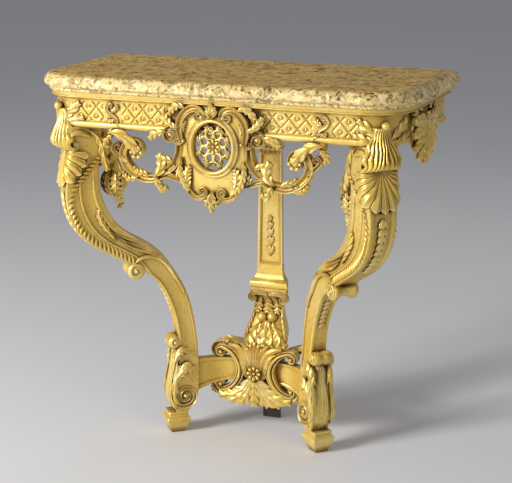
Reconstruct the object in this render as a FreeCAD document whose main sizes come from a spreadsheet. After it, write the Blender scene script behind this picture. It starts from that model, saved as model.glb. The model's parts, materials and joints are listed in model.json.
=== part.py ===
import FreeCAD, Part
import math
import os
import re
import Sketcher
from FreeCAD import Placement, Rotation, Vector

doc = FreeCAD.newDocument("PierTable")
sheet = doc.addObject("Spreadsheet::Sheet", "Sizes")

# Driving sizes: millimetres, except angles in degrees and plain counts.
SIZES = (
    ("top_width", "860", "marble slab, side to side"),
    ("top_depth", "400", "marble slab, front to back"),
    ("table_height", "850", "floor to top of slab"),
    ("slab_thick", "28", "moulded part of the slab"),
    ("slab_nose", "17", "round on the slab's top edge"),
    ("slab_under", "8", "round under the slab's edge"),
    ("slab_step", "7", "height of the fillet under the slab"),
    ("slab_inset", "11", "how far that fillet stands back"),
    ("corner_radius", "107", "slab's front corners"),
    ("overhang", "16", "slab past the cornice"),
    ("back_gap", "10", "slab past the back rail"),
    ("frieze_height", "79", "height of the rails"),
    ("rail_thick", "30", "rail behind its ground"),
    ("back_thick", "28", "back rail"),
    ("cornice_reach", "16", "cornice past the ground"),
    ("cornice_height", "13", "cornice band"),
    ("cornice_lip", "3", "flat under the cornice band"),
    ("cavetto_height", "8", "hollow under the cornice"),
    ("cavetto_round", "12", "radius of that hollow"),
    ("bead_height", "15", "bead at the foot of the rails"),
    ("bead_reach", "6", "bead past the ground"),
    ("tenon_thick", "10", "rail tenons"),
    ("tenon_height", "40", "rail tenons"),
    ("tenon_length", "25", "front and side rail tenons"),
    ("stub_length", "14", "back rail tenons"),
    ("peg_bore", "8", "pegs through the tenons"),
    ("peg_cover", "7", "wood left past a peg"),
    ("peg_stagger", "12", "pegs above and below the middle"),
    ("batten_width", "44", "bearers under the slab"),
    ("batten_height", "30", "bearers under the slab"),
    ("batten_spread", "300", "bearer to bearer"),
    ("glue_block", "38", "rubbed blocks in the back corners"),
    ("glue_block_height", "50", "rubbed blocks in the back corners"),
    ("foot_spread", "352", "foot to foot, on the leg axes"),
    ("foot_setback", "4", "leg axes behind the middle of the slab"),
    ("leg_angle", "40", "legs turned out from the front"),
    ("leg_reach", "256", "knee past the foot"),
    ("leg_width", "72", "leg across, at its head"),
    ("leg_foot_width", "46", "leg across, at its foot"),
    ("leg_panel_depth", "3", "sunk panel in the leg's sides"),
    ("leg_tenon", "34", "square tenon on the leg's head"),
    ("leg_tenon_length", "17", "same, its height"),
    ("leg_tenon_out", "25", "same, its middle to the face of the frieze corner"),
    ("leg_head_inset", "9", "leg's head behind the face of the frieze corner"),
    ("leg_head_depth", "70", "leg's head, in the leg's plane"),
    ("knee_roll", "20", "radius of the scroll half way down"),
    ("shin_roll", "17", "radius of the small scroll"),
    ("foot_block", "52", "block under the leg, square"),
    ("foot_block_height", "34", "block under the leg"),
    ("toe_top", "42", "toe, square at its top"),
    ("toe_base", "30", "toe, square at the floor"),
    ("toe_height", "16", "toe under the block"),
    ("shell_flutes", "7", "flutes of each shell"),
    ("shell_flute_depth", "6", "same, at their deepest"),
    ("shell_cap_width", "96", "shell over the frieze corner"),
    ("shell_cap_reach", "27", "same, past the face of the frieze corner"),
    ("shell_cap_sag", "30", "same, how far its sides fall back"),
    ("shell_cap_lip", "10", "same, height of its turned-in lip"),
    ("shell_cap_drop", "62", "same, below the rail"),
    ("shell_cap_rise", "54", "same, above the foot of the rail"),
    ("knee_shell_width", "82", "hanging shell on the knee"),
    ("knee_shell_length", "76", "hanging shell on the knee"),
    ("knee_shell_reach", "14", "same, past the leg's face"),
    ("knee_shell_sag", "15", "same, how far its sides fall back"),
    ("knee_shell_seat", "20", "same, into the leg's face"),
    ("bracket_thick", "34", "leaf scroll inside the leg head"),
    ("shield_width", "154", "cartouche across"),
    ("shield_drop", "152", "cartouche below the rail"),
    ("shield_rise", "56", "cartouche above the foot of the rail"),
    ("shield_thick", "12", "cartouche board"),
    ("oval_width", "87", "opening in the cartouche"),
    ("oval_height", "102", "opening in the cartouche"),
    ("oval_below", "21", "middle of the opening below the rail"),
    ("oval_band", "15", "moulded oval frame"),
    ("oval_thick", "8", "moulded oval frame"),
    ("fret_thick", "8", "pierced rosette in the oval"),
    ("fret_arms", "8", "arms of that rosette"),
    ("crest_thick", "9", "crest scrolls and drop leaf"),
    ("crest_clear", "1", "crest under the cornice"),
    ("apron_thick", "18", "pierced scrolls"),
    ("apron_lap", "6", "same, in front of the bead"),
    ("apron_reach", "250", "far end of the pierced scrolls"),
    ("apron_drop", "102", "pierced scrolls below the rail"),
    ("pendant_width", "176", "drop on the side rails"),
    ("pendant_drop", "52", "same, below the rail"),
    ("pendant_thick", "13", "same"),
    ("pendant_place", "-5", "same, behind the middle of the slab"),
    ("rear_depth", "50", "rear support, front to back"),
    ("rear_block_width", "74", "rear support at the stretcher"),
    ("rear_block_height", "90", "same, under the bracket"),
    ("rear_foot_width", "44", "rear foot under that block"),
    ("rear_foot_depth", "26", "rear foot, front to back"),
    ("rear_foot_round", "24", "hollow at the top of the rear foot"),
    ("rear_foot_height", "95", "rear foot, floor to block"),
    ("rear_bracket_height", "133", "bulged bracket"),
    ("rear_bracket_width", "105", "bulged bracket"),
    ("rear_bulge", "14", "bracket past the block's face"),
    ("rear_leaf_thick", "8", "leaf on the bracket's face"),
    ("plinth_height", "60", "flared base of the pilaster"),
    ("plinth_width", "96", "flared base of the pilaster"),
    ("pilaster_base", "62", "pilaster across, at its base"),
    ("pilaster_top", "54", "pilaster across, at its top"),
    ("pilaster_depth", "38", "pilaster, front to back"),
    ("pilaster_border", "8", "border round its sunk panel"),
    ("pilaster_sink", "4", "depth of that panel"),
    ("capital_height", "86", "pilaster's head, under the back rail"),
    ("capital_width", "92", "pilaster's head"),
    ("ear_reach", "160", "scroll ears from the middle"),
    ("ear_thick", "30", "scroll ears, front to back"),
    ("stretcher_level", "171", "top of the stretcher"),
    ("stretcher_height", "52", "stretcher at the middle"),
    ("stretcher_heel", "78", "stretcher at the leg"),
    ("stretcher_thick", "22", "stretcher rails"),
    ("stretcher_sag", "7", "bow of the rails in plan"),
    ("stretcher_tenon", "12", "tenons into the legs"),
    ("hub_width", "56", "block where the rails meet"),
    ("hub_front", "72", "face of that block, behind the slab's middle"),
    ("scroll_height", "120", "C-scrolls of the stretcher"),
    ("scroll_reach", "105", "same, from the middle"),
    ("scroll_gap", "34", "same, middle to the scroll's back"),
    ("scroll_depth", "32", "same, front to back"),
    ("scroll_lift", "4", "same, above the middle of the stretcher"),
    ("leaf_height", "150", "standing leaf of the stretcher"),
    ("leaf_tip", "64", "same, tip above the floor"),
    ("leaf_width", "48", "same"),
    ("leaf_thick", "14", "same"),
    ("fan_width", "166", "leaf fan under the stretcher"),
    ("fan_thick", "12", "same"),
    ("rosette_width", "36", "flower on the stretcher"),
    ("rosette_thick", "9", "same"),
    ("rosette_seat", "2", "same, let into the standing leaf"),
    ("rosette_level", "144", "same, above the floor"),
)
NAMES = {row[0] for row in SIZES}
for row, (name, number, note) in enumerate(SIZES, start=1):
    sheet.set("A%d" % row, note)
    sheet.set("B%d" % row, number)
    sheet.setAlias("B%d" % row, name)
doc.recompute()

# Levels and planes that several pieces share.
FRIEZE_TOP = "(table_height - slab_thick - slab_step)"
FRIEZE_FOOT = "(table_height - slab_thick - slab_step - frieze_height)"
GROUND_TOP = "(frieze_height - cornice_height - cavetto_height)"
SIDE = "(top_width / 2 - overhang - cornice_reach)"
FRONT = "(top_depth / 2 - overhang - cornice_reach)"
ROUND = "(corner_radius - overhang - cornice_reach)"
BACK = "(top_depth / 2 - back_gap)"
LEG_BASE = "(toe_height + foot_block_height)"
REAR_FACE = "(top_depth / 2 - back_gap - rear_depth)"

gauge = doc.addObject("App::FeaturePython", "Gauge")
gauge.addProperty("App::PropertyFloat", "Reading")
nodes = {}


def expr(text):
    """Point the size names in a formula at the sheet."""
    return re.sub(r"[a-z]\w*", lambda m: "Sizes." + m.group() if m.group() in NAMES else m.group(), text)


def mm(text):
    """Read a formula of sheet sizes as a number."""
    gauge.setExpression("Reading", expr(text))
    gauge.recompute()
    return gauge.Reading


def place(obj, at, turn=None):
    """Set an object's rotation, and bind its position to the sheet."""
    obj.Placement = Placement(Vector(), turn or Rotation())
    for axis, text in zip("xyz", at):
        obj.setExpression("Placement.Base." + axis, expr(text))
    return obj


def bind(obj, **formulas):
    """Bind properties of an object to the sheet."""
    for prop, text in formulas.items():
        obj.setExpression(prop, expr(text))
    return obj


def keep(label, obj):
    """Name an object as a sub-part."""
    obj.Label = label
    nodes[label] = obj
    return obj


def box(name, dims, at, turn=None):
    """Make a box bound to the sheet."""
    obj = doc.addObject("Part::Box", name)
    bind(obj, Length=dims[0], Width=dims[1], Height=dims[2])
    return place(obj, at, turn)


def cut(name, base, *tools):
    """Cut tools from a base, one after another."""
    for number, tool in enumerate(tools):
        obj = doc.addObject("Part::Cut", "%s_%d" % (name, number))
        obj.Base = base
        obj.Tool = tool
        base = obj
    return base


def fuse(name, *parts):
    """Join parts into one solid."""
    obj = doc.addObject("Part::MultiFuse", name)
    obj.Shapes = list(parts)
    obj.Refine = True
    return obj


def common(name, *parts):
    """Keep what two parts share."""
    obj = doc.addObject("Part::Common", name)
    obj.Base, obj.Tool = parts
    return obj


def mirror(label, source):
    """Make the left-hand twin of a right-hand piece."""
    obj = doc.addObject("Part::Mirroring", label)
    obj.Source = source
    obj.Normal = Vector(1, 0, 0)
    return keep(label, obj)


def shaped(name, shape):
    """Put a computed shape in the document."""
    obj = doc.addObject("Part::Feature", name)
    obj.Shape = shape
    return obj


def extrude(name, shape, depth, at, turn=None, along=Vector(0, 1, 0), symmetric=False):
    """Extrude an outline by a bound depth."""
    obj = doc.addObject("Part::Extrusion", name)
    obj.Base = shaped(name + "_outline", shape)
    obj.DirMode = "Custom"
    obj.Dir = along
    obj.Solid = True
    obj.Symmetric = symmetric
    bind(obj, LengthFwd=depth)
    return place(obj, at, turn)


# Sketches: outlines of bound corners, with arcs between some of them.
def new_body(name):
    """Make an empty body."""
    return doc.addObject("PartDesign::Body", name)


def new_sketch(body, plane):
    """Make a sketch on one of the body's own planes."""
    sketch = body.newObject("Sketcher::SketchObject", body.Name + "_sketch")
    origin = [f for f in body.Origin.OriginFeatures if f.Role == plane][0]
    sketch.AttachmentSupport = (origin, [""])
    sketch.MapMode = "FlatFace"
    return sketch


def arc_between(start, end, radius, turn):
    """Short arc from one corner to the next; turn is 1 for a swell and -1 for a hollow."""
    chord = end - start
    rise = math.sqrt(max(radius ** 2 - chord.Length ** 2 / 4, 0))
    side = Vector(-chord.y, chord.x, 0).normalize()
    centre = (start + end) * 0.5 + side * rise * turn
    first, last = (start, end) if turn > 0 else (end, start)
    angle = [math.atan2((p - centre).y, (p - centre).x) for p in (first, last)]
    if angle[1] < angle[0]:
        angle[1] += 2 * math.pi
    return Part.ArcOfCircle(Part.Circle(centre, Vector(0, 0, 1), radius), *angle)


def draw(sketch, path):
    """Draw a closed outline; a corner is (x, y), or (x, y, radius, turn) where an arc starts."""
    points = [Vector(mm(c[0]), mm(c[1]), 0) for c in path]
    ends = []
    for i, corner in enumerate(path):
        start, end = points[i], points[(i + 1) % len(path)]
        if len(corner) == 2:
            index = sketch.addGeometry(Part.LineSegment(start, end))
            ends.append((index, 1, 2))
        else:
            index = sketch.addGeometry(arc_between(start, end, mm(corner[2]), corner[3]))
            ends.append((index, 1, 2) if corner[3] > 0 else (index, 2, 1))
    for i, corner in enumerate(path):
        index, first, _ = ends[i]
        before, _, last = ends[i - 1]
        sketch.addConstraint(Sketcher.Constraint("Coincident", before, last, index, first))
        for kind, axis, text, place_now in (
            ("DistanceX", -2, corner[0], points[i].x),
            ("DistanceY", -1, corner[1], points[i].y),
        ):
            if text == "0":
                sketch.addConstraint(Sketcher.Constraint("PointOnObject", index, first, axis))
            else:
                number = sketch.addConstraint(Sketcher.Constraint(kind, -1, 1, index, first, place_now))
                sketch.setExpression("Constraints[%d]" % number, expr(text))
        if len(corner) > 2:
            number = sketch.addConstraint(Sketcher.Constraint("Radius", index, mm(corner[2])))
            sketch.setExpression("Constraints[%d]" % number, expr(corner[2]))
    return sketch


def pad(body, sketch, length, reverse=False):
    """Pad a sketch by a bound length."""
    feature = body.newObject("PartDesign::Pad", body.Name + "_pad")
    feature.Profile = sketch
    feature.Reversed = reverse
    bind(feature, Length=length)
    sketch.Visibility = False
    body.Tip = feature
    return feature


def block(body, kind, dims, at):
    """Add a box to a body, or take one from it."""
    feature = body.newObject("PartDesign::" + kind, body.Name + "_" + kind)
    bind(feature, Length=dims[0], Width=dims[1], Height=dims[2])
    place(feature, at)
    body.Tip = feature
    return feature


def round_edges(body, feature, radius, test):
    """Round the edges of a feature that pass a test."""
    doc.recompute()
    edges = ["Edge%d" % (i + 1) for i, edge in enumerate(feature.Shape.Edges) if test(edge)]
    fillet = body.newObject("PartDesign::Fillet", body.Name + "_round")
    fillet.Base = (feature, edges)
    bind(fillet, Radius=radius)
    body.Tip = fillet
    return fillet


# Flat outlines in the XZ plane, for sawn and carved pieces.
def flat(x, z):
    """Point in the XZ plane."""
    return Vector(x, 0, z)


def spline(points):
    """Smooth edge through points."""
    curve = Part.BSplineCurve()
    curve.interpolate(points)
    return curve.toShape()


def line(start, end):
    """Straight edge."""
    return Part.LineSegment(start, end).toShape()


def ribbon(path, halves):
    """Face of a band that follows a path, with its half width at each point of the path."""
    spine = Part.BSplineCurve()
    spine.interpolate([flat(*p) for p in path])
    upper, lower = [], []
    for point, half in zip(path, halves):
        across = spine.tangent(spine.parameter(flat(*point)))[0].cross(Vector(0, 1, 0)) * half
        upper.append(flat(*point) + across)
        lower.append(flat(*point) - across)
    edges = [spline(upper), line(upper[-1], lower[-1]), spline(lower[::-1]), line(lower[0], upper[0])]
    return Part.Face(Part.Wire(edges))


def disc(x, z, half_width, half_height=None, tilt=0):
    """Round or oval face; tilt turns it in its plane."""
    half_height = half_height or half_width
    long_axis, short_axis = flat(half_width, 0), flat(0, half_height)
    if half_height > half_width:
        long_axis, short_axis = short_axis, long_axis
    if abs(half_width - half_height) < 1e-6:
        edge = Part.makeCircle(half_width, flat(x, z), Vector(0, 1, 0))
    else:
        edge = Part.Ellipse(flat(x, z) + long_axis, flat(x, z) + short_axis, flat(x, z)).toShape()
    face = Part.Face(Part.Wire([edge]))
    face.rotate(flat(x, z), Vector(0, -1, 0), tilt)
    return face


def plate(x0, z0, x1, z1):
    """Rectangular face."""
    corners = [flat(x0, z0), flat(x1, z0), flat(x1, z1), flat(x0, z1), flat(x0, z0)]
    return Part.Face(Part.makePolygon(corners))


def join(*faces):
    """One face from faces that overlap, joined as thin slices of wood."""
    slices = [face.extrude(Vector(0, 1, 0)) for face in faces]
    whole = slices[0].multiFuse(slices[1:]).removeSplitter()
    front = [face for face in whole.Faces if face.BoundBox.YMax < 1e-6]
    if len(front) != 1:
        raise RuntimeError("outline falls into %d faces" % len(front))
    return front[0]


def symmetric_outline(half):
    """Face from the right half of an outline, given from its top to its bottom on the axis."""
    right = [flat(*p) for p in half]
    left = [flat(-p.x, p.z) for p in right[::-1]]
    edges = [spline(right), spline(left)]
    if right[0].x > 0:
        edges.append(line(left[-1], right[0]))
    if right[-1].x > 0:
        edges.insert(1, line(right[-1], left[0]))
    return Part.Face(Part.Wire(edges))


# Marble slab.
slab = new_body("Slab")
half_top = "top_width / 2"
deep = "top_depth / 2"
outline = [("-" + half_top, "-" + deep), (half_top, "-" + deep), (half_top, deep), ("-" + half_top, deep)]
slab_pad = pad(slab, draw(new_sketch(slab, "XY_Plane"), outline), "slab_thick")
low_x = "top_width / 2 - slab_inset"
low_y = "slab_inset - top_depth / 2"
far_low_x = "slab_inset - top_width / 2"
outline = [(far_low_x, low_y), (low_x, low_y), (low_x, deep), (far_low_x, deep)]
slab_foot = pad(slab, draw(new_sketch(slab, "XY_Plane"), outline), "slab_step", reverse=True)
front_y = -mm(deep)


def upright(edge, depth):
    """True for a standing edge at a given depth."""
    level = edge.BoundBox.XLength + edge.BoundBox.YLength < 1e-4
    return level and abs(edge.BoundBox.Center.y - depth) < 1e-3


slab_corner = round_edges(slab, slab_foot, "corner_radius", lambda e: upright(e, front_y))
inner_y = front_y + mm("slab_inset")
slab_corner = round_edges(slab, slab_corner, "corner_radius - slab_inset", lambda e: upright(e, inner_y))


def rim(edge, level, depth):
    """True for a front or side edge of the slab at a level."""
    bounds = edge.BoundBox
    side = max(bounds.XMax, -bounds.XMin) > mm(half_top) - 1e-3
    outer = side or bounds.YMin < front_y + 1e-3
    flat_edge = bounds.ZLength < 1e-4 and abs(bounds.ZMin - level) < 1e-4
    return outer and flat_edge and bounds.YMin < depth - 1e-3


top_level, back_y = mm("slab_thick"), mm(deep)
slab_nose = round_edges(slab, slab_corner, "slab_nose", lambda e: rim(e, top_level, back_y))
round_edges(slab, slab_nose, "slab_under", lambda e: rim(e, 0, back_y))
keep("marble_top", place(slab, ("0", "0", "table_height - slab_thick")))


# Frieze: one moulding for rails and corners, with its ground at a given distance from the axis.
def moulding(inner, ground):
    """Corners of the frieze moulding."""
    bead_round = "(bead_height ^ 2 / 4 + bead_reach ^ 2) / (2 * bead_reach)"
    lip = ground + " + cornice_reach - cornice_lip"
    return [
        (inner, "0"),
        (ground, "0", bead_round, 1),
        (ground, "bead_height"),
        (ground, GROUND_TOP, "cavetto_round", -1),
        (lip, GROUND_TOP + " + cavetto_height"),
        (ground + " + cornice_reach", GROUND_TOP + " + cavetto_height"),
        (ground + " + cornice_reach", "frieze_height"),
        (inner, "frieze_height"),
    ]


def rail(name, length, tenon_from, tenon_to, seat_at, seat_width):
    """Frieze rail along X with its ground towards +Y, a tenon, and a seat cut in its mouldings."""
    body = new_body(name)
    pad(body, draw(new_sketch(body, "YZ_Plane"), moulding("-rail_thick", "0")), length)
    middle = "-(rail_thick + tenon_thick) / 2"
    low = "(frieze_height - tenon_height) / 2"
    dims = ("%s - (%s)" % (tenon_to, tenon_from), "tenon_thick", "tenon_height")
    block(body, "AdditiveBox", dims, (tenon_from, middle, low))
    dims = (seat_width, "cornice_reach * 2", GROUND_TOP + " + cavetto_height")
    block(body, "SubtractiveBox", dims, ("%s - %s / 2" % (seat_at, seat_width), "0", "0"))
    return body


front_length = "2 * (%s - %s)" % (SIDE, ROUND)
side_length = "(%s + %s - %s)" % (BACK, FRONT, ROUND)
front_body = rail(
    "FrontRail",
    front_length,
    "-tenon_length",
    front_length + " + tenon_length",
    front_length + " / 2",
    "shield_width",
)
place(front_body, (SIDE + " - " + ROUND, "-" + FRONT, FRIEZE_FOOT), Rotation(Vector(0, 0, 1), 180))
side_body = rail(
    "SideRail",
    side_length,
    side_length + " - tenon_length",
    side_length + " + tenon_length",
    BACK + " - pendant_place",
    "pendant_width",
)
block(
    side_body,
    "SubtractiveBox",
    ("tenon_thick", "stub_length", "tenon_height"),
    ("(back_thick - tenon_thick) / 2", "-rail_thick", "(frieze_height - tenon_height) / 2"),
)
place(side_body, (SIDE, BACK, FRIEZE_FOOT), Rotation(Vector(0, 0, 1), -90))

corner_body = new_body("CornerBlock")
corner_sketch = draw(new_sketch(corner_body, "YZ_Plane"), moulding("0", ROUND))
turned = corner_body.newObject("PartDesign::Revolution", "CornerBlock_turned")
turned.Profile = corner_sketch
turned.ReferenceAxis = (corner_sketch, ["V_Axis"])
turned.Angle = 90
corner_sketch.Visibility = False
corner_body.Tip = turned
mortise_low = "(frieze_height - tenon_height) / 2"
mortise_side = ROUND + " - (rail_thick + tenon_thick) / 2"
block(corner_body, "SubtractiveBox", ("tenon_length", "tenon_thick", "tenon_height"),
      ("-tenon_length", mortise_side, mortise_low))
block(corner_body, "SubtractiveBox", ("tenon_thick", "tenon_length", "tenon_height"),
      ("-(%s) - tenon_thick" % mortise_side, "0", mortise_low))
corner_x, corner_y = SIDE + " - " + ROUND, ROUND + " - " + FRONT
place(corner_body, (corner_x, corner_y, FRIEZE_FOOT), Rotation(Vector(0, 0, 1), 180))


def peg(name, at, turn):
    """Peg driven through a tenon."""
    obj = doc.addObject("Part::Cylinder", name)
    bind(obj, Radius="peg_bore / 2", Height=ROUND + " - peg_cover")
    return place(obj, at, turn)


peg_middle = FRIEZE_FOOT + " + frieze_height / 2"
to_front, to_side = Rotation(Vector(1, 0, 0), 90), Rotation(Vector(0, 1, 0), 90)
front_at = (corner_x + " + tenon_length / 2", corner_y, peg_middle + " + peg_stagger")
front_peg = peg("FrontPeg", front_at, to_front)
side_at = (corner_x, corner_y + " - tenon_length / 2", peg_middle + " - peg_stagger")
side_peg = peg("SidePeg", side_at, to_side)
left_pegs = []
for right_peg in (front_peg, side_peg):
    twin = doc.addObject("Part::Mirroring", right_peg.Name + "_left")
    twin.Source = right_peg
    twin.Normal = Vector(1, 0, 0)
    left_pegs.append(twin)
pegs = doc.addObject("Part::Compound", "Pegs")
pegs.Links = [front_peg, side_peg] + left_pegs
keep("rail_pegs", pegs)

# The rail is hollowed behind the opening in the cartouche.
oval_level = mm(FRIEZE_FOOT + " - oval_below")
oval = disc(0, oval_level, mm("oval_width / 2"), mm("oval_height / 2"))
sight = extrude("Sight", oval, "top_depth", ("0", "-top_depth", "0"))
keep("front_rail", cut("FrontRailCut", front_body, sight, front_peg, left_pegs[0]))
keep("right_rail", cut("SideRailCut", side_body, side_peg))
mirror("left_rail", nodes["right_rail"])

back_body = new_body("BackRail")
back_half = "(" + SIDE + " - rail_thick)"
block(back_body, "AdditiveBox", ("2 * " + back_half, "back_thick", "frieze_height"),
      ("-" + back_half, "0", "0"))
block(back_body, "AdditiveBox", ("2 * (" + back_half + " + stub_length)", "tenon_thick", "tenon_height"),
      ("-" + back_half + " - stub_length", "(back_thick - tenon_thick) / 2", mortise_low))
keep("back_rail", place(back_body, ("0", BACK + " - back_thick", FRIEZE_FOOT)))

batten_dims = ("batten_width", "%s - back_thick + %s - rail_thick" % (BACK, FRONT), "batten_height")
batten_at = ("(batten_spread - batten_width) / 2", "rail_thick - " + FRONT,
             FRIEZE_TOP + " - batten_height")
keep("right_batten", box("RightBatten", batten_dims, batten_at))
mirror("left_batten", nodes["right_batten"])
glue_at = (SIDE + " - rail_thick - glue_block", BACK + " - back_thick - glue_block",
           FRIEZE_TOP + " - glue_block_height")
right_glue = box("RightGlue", ("glue_block", "glue_block", "glue_block_height"), glue_at)
left_glue = doc.addObject("Part::Mirroring", "LeftGlue")
left_glue.Source = right_glue
left_glue.Normal = Vector(1, 0, 0)
glue = doc.addObject("Part::Compound", "GlueBlocks")
glue.Links = [right_glue, left_glue]
keep("glue_blocks", glue)

# Legs: sawn to a scrolled outline in a turned upright plane, then tapered in width.
leg_turn = Rotation(Vector(0, 0, 1), -mm("leg_angle"))
LEG_AT = ("foot_spread / 2", "foot_setback", "0")
reach, leg_height = mm("leg_reach"), mm(FRIEZE_FOOT)
leg_base = mm(LEG_BASE)

# Where the leg's axis, seen from above, meets the face of the frieze.
angle = math.radians(mm("leg_angle"))
foot_spot = Vector(mm(LEG_AT[0]), mm(LEG_AT[1]), 0)
outward = Vector(math.cos(angle), -math.sin(angle), 0)
turn_at = Vector(mm(corner_x), mm(corner_y), 0)
front_end, side_end = turn_at - Vector(0, mm(ROUND), 0), turn_at + Vector(mm(ROUND), 0, 0)
frieze_plan = Part.Wire([
    line(Vector(0, front_end.y, 0), front_end),
    Part.Arc(front_end, turn_at + Vector(1, -1, 0).normalize() * mm(ROUND), side_end).toShape(),
    line(side_end, Vector(side_end.x, mm(BACK), 0)),
])
leg_axis = line(foot_spot, foot_spot + outward * mm("top_width"))
head_out = (frieze_plan.distToShape(leg_axis)[1][0][0] - foot_spot).Length
head_depth = mm("leg_head_depth")
head_face = head_out - mm("leg_head_inset")
head_back = head_face - head_depth

# The leg's head, outer edge then inner edge: shares of its depth, inwards, and of the height.
HEAD = ((0.00, 1.000, 1.00, 1.000), (-0.03, 0.924, 0.88, 0.900))

# Stations from knee to foot: outer edge, then inner edge, as shares of the reach and of the height.
LEG = (
    (0.977, 0.842, 0.688, 0.815),
    (0.988, 0.781, 0.640, 0.765),
    (0.930, 0.700, 0.535, 0.705),
    (0.770, 0.633, 0.380, 0.655),
    (0.560, 0.588, 0.200, 0.609),
    (0.330, 0.541, 0.060, 0.552),
    (0.180, 0.500, -0.075, 0.470),
    (0.065, 0.425, -0.158, 0.370),
    (0.004, 0.345, -0.188, 0.285),
    (-0.008, 0.260, -0.195, 0.210),
    (0.020, 0.185, -0.190, 0.150),
    (0.050, 0.120, -0.165, 0.105),
)


def leg_point(share_out, share_up):
    """Point of the leg's outline, whose lowest stretch stays on the foot block."""
    low = 0.068
    lift = leg_base - low * leg_height
    fade = max(0.0, 1 - (share_up - low) / 0.2) if share_up < 0.268 else 0.0
    return flat(share_out * reach, share_up * leg_height + lift * fade)


outer = [flat(head_face - a * head_depth, b * leg_height) for a, b, _, _ in HEAD]
inner = [flat(head_face - c * head_depth, d * leg_height) for _, _, c, d in HEAD]
outer += [leg_point(a, b) for a, b, _, _ in LEG] + [flat(0.02 * reach, leg_base)]
inner += [leg_point(c, d) for _, _, c, d in LEG] + [flat(-0.09 * reach, leg_base)]
leg_edges = [spline(outer), line(outer[-1], inner[-1]), spline(inner[::-1]), line(inner[0], outer[0])]


def leg_face_at(level):
    """How far out the leg's outer edge lies at a level."""
    crossing = line(flat(-reach, level), flat(2 * reach, level))
    return leg_edges[0].distToShape(crossing)[1][0][0].x


knee, shin = leg_point(0.375, 0.541), leg_point(0.024, 0.290)
leg_face = join(
    Part.Face(Part.Wire(leg_edges)),
    disc(knee.x, knee.z, mm("knee_roll")),
    disc(shin.x, shin.z, mm("shin_roll")),
)
panel = [o + (i - o) * 0.2 for o, i in zip(outer[3:11], inner[3:11])]
panel_in = [i + (o - i) * 0.2 for o, i in zip(outer[3:11], inner[3:11])]
panel_edges = [
    spline(panel),
    line(panel[-1], panel_in[-1]),
    spline(panel_in[::-1]),
    line(panel_in[0], panel[0]),
]


def taper(name, less):
    """Upright wedge that tapers the leg's width, thinner by a given amount."""
    obj = doc.addObject("Part::Wedge", name)
    bind(obj, Ymin=LEG_BASE, Ymax=FRIEZE_FOOT, Xmin="-leg_reach", X2min="-leg_reach")
    bind(obj, Xmax="2 * leg_reach", X2max="2 * leg_reach")
    bind(obj, Zmin="%s - leg_foot_width / 2" % less, Zmax="leg_foot_width / 2 - %s" % less)
    bind(obj, Z2min="%s - leg_width / 2" % less, Z2max="leg_width / 2 - %s" % less)
    return place(obj, LEG_AT, leg_turn.multiply(Rotation(Vector(1, 0, 0), 90)))


leg_sawn = extrude("LegSawn", leg_face, "leg_width", LEG_AT, leg_turn, symmetric=True)
leg_body = common("LegBody", leg_sawn, taper("LegTaper", "0"))
panel_face = Part.Face(Part.Wire(panel_edges))
panel_sawn = extrude("PanelSawn", panel_face, "leg_width * 2", LEG_AT, leg_turn, symmetric=True)
leg_panels = cut("LegPanels", panel_sawn, taper("PanelTaper", "leg_panel_depth"))
leg_body = cut("LegSunk", leg_body, leg_panels)


def in_leg(name, dims, out, across, level):
    """Box in the leg's own plane, a given distance out from the foot."""
    obj = box(name, dims, ("0", "0", "0"), leg_turn)
    spot = Placement(foot_spot, leg_turn)
    obj.Placement = spot.multiply(Placement(Vector(out, mm(across), mm(level)), Rotation()))
    for axis in "xyz":
        obj.setExpression("Placement.Base." + axis, None)
    return obj


head_tenon = in_leg(
    "HeadTenon",
    ("leg_tenon", "leg_tenon", "leg_tenon_length"),
    head_out - mm("leg_tenon_out + leg_tenon / 2"),
    "-leg_tenon / 2",
    FRIEZE_FOOT,
)
keep("right_corner_block", cut("CornerCut", corner_body, front_peg, side_peg, head_tenon))
mirror("left_corner_block", nodes["right_corner_block"])

# Stretcher rails: bowed in plan, arched below, tenoned into the legs and met by the hub.
heel_out = -0.192 * reach
heel = foot_spot + outward * heel_out
hub_side = Vector(mm("hub_width / 2"), mm("hub_front + stretcher_thick / 2"), 0)
run = (heel - hub_side).normalize()
across = Vector(-run.y, run.x, 0)
far = heel + run * mm("stretcher_tenon")
near = Vector(hub_side.x, hub_side.y, 0)
bow = (near + far) * 0.5 + across * mm("stretcher_sag")
half_thick = mm("stretcher_thick / 2")
plan = []
for sign in (1, -1):
    shift = across * half_thick * sign
    plan.append(Part.Arc(near + shift, bow + shift, far + shift).toShape())
plan_edges = [
    plan[0],
    line(far + across * half_thick, far - across * half_thick),
    plan[1],
    line(near - across * half_thick, near + across * half_thick),
]
plan_face = Part.Face(Part.Wire(Part.__sortEdges__(plan_edges)))
rail_plan = extrude("StretcherPlan", plan_face, "stretcher_level", ("0", "0", "0"), along=Vector(0, 0, 1))
level, hub_low = mm("stretcher_level"), mm("stretcher_level - stretcher_height")
heel_low = mm("stretcher_level - stretcher_heel")
arch_end = far.x + half_thick * 2
arch_mid = flat((near.x + arch_end) / 2, hub_low - (hub_low - heel_low) * 0.32)
arch = [
    line(flat(near.x, hub_low), flat(near.x, level)),
    line(flat(near.x, level), flat(arch_end, level)),
    line(flat(arch_end, level), flat(arch_end, heel_low)),
    Part.Arc(flat(arch_end, heel_low), arch_mid, flat(near.x, hub_low)).toShape(),
]
rail_arch = extrude("StretcherArch", Part.Face(Part.Wire(arch)), "top_depth", ("0", "-top_depth / 2", "0"))
rail_raw = common("StretcherRaw", rail_plan, rail_arch)
rail_coped = cut("StretcherCoped", rail_raw, leg_body)
tenon_dims = ("2 * stretcher_tenon", "tenon_thick", "stretcher_height - stretcher_tenon")
rail_tenon = in_leg(
    "StretcherTenon",
    tenon_dims,
    heel_out - mm("stretcher_tenon"),
    "-tenon_thick / 2",
    "stretcher_level - stretcher_height + stretcher_tenon / 2",
)
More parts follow.
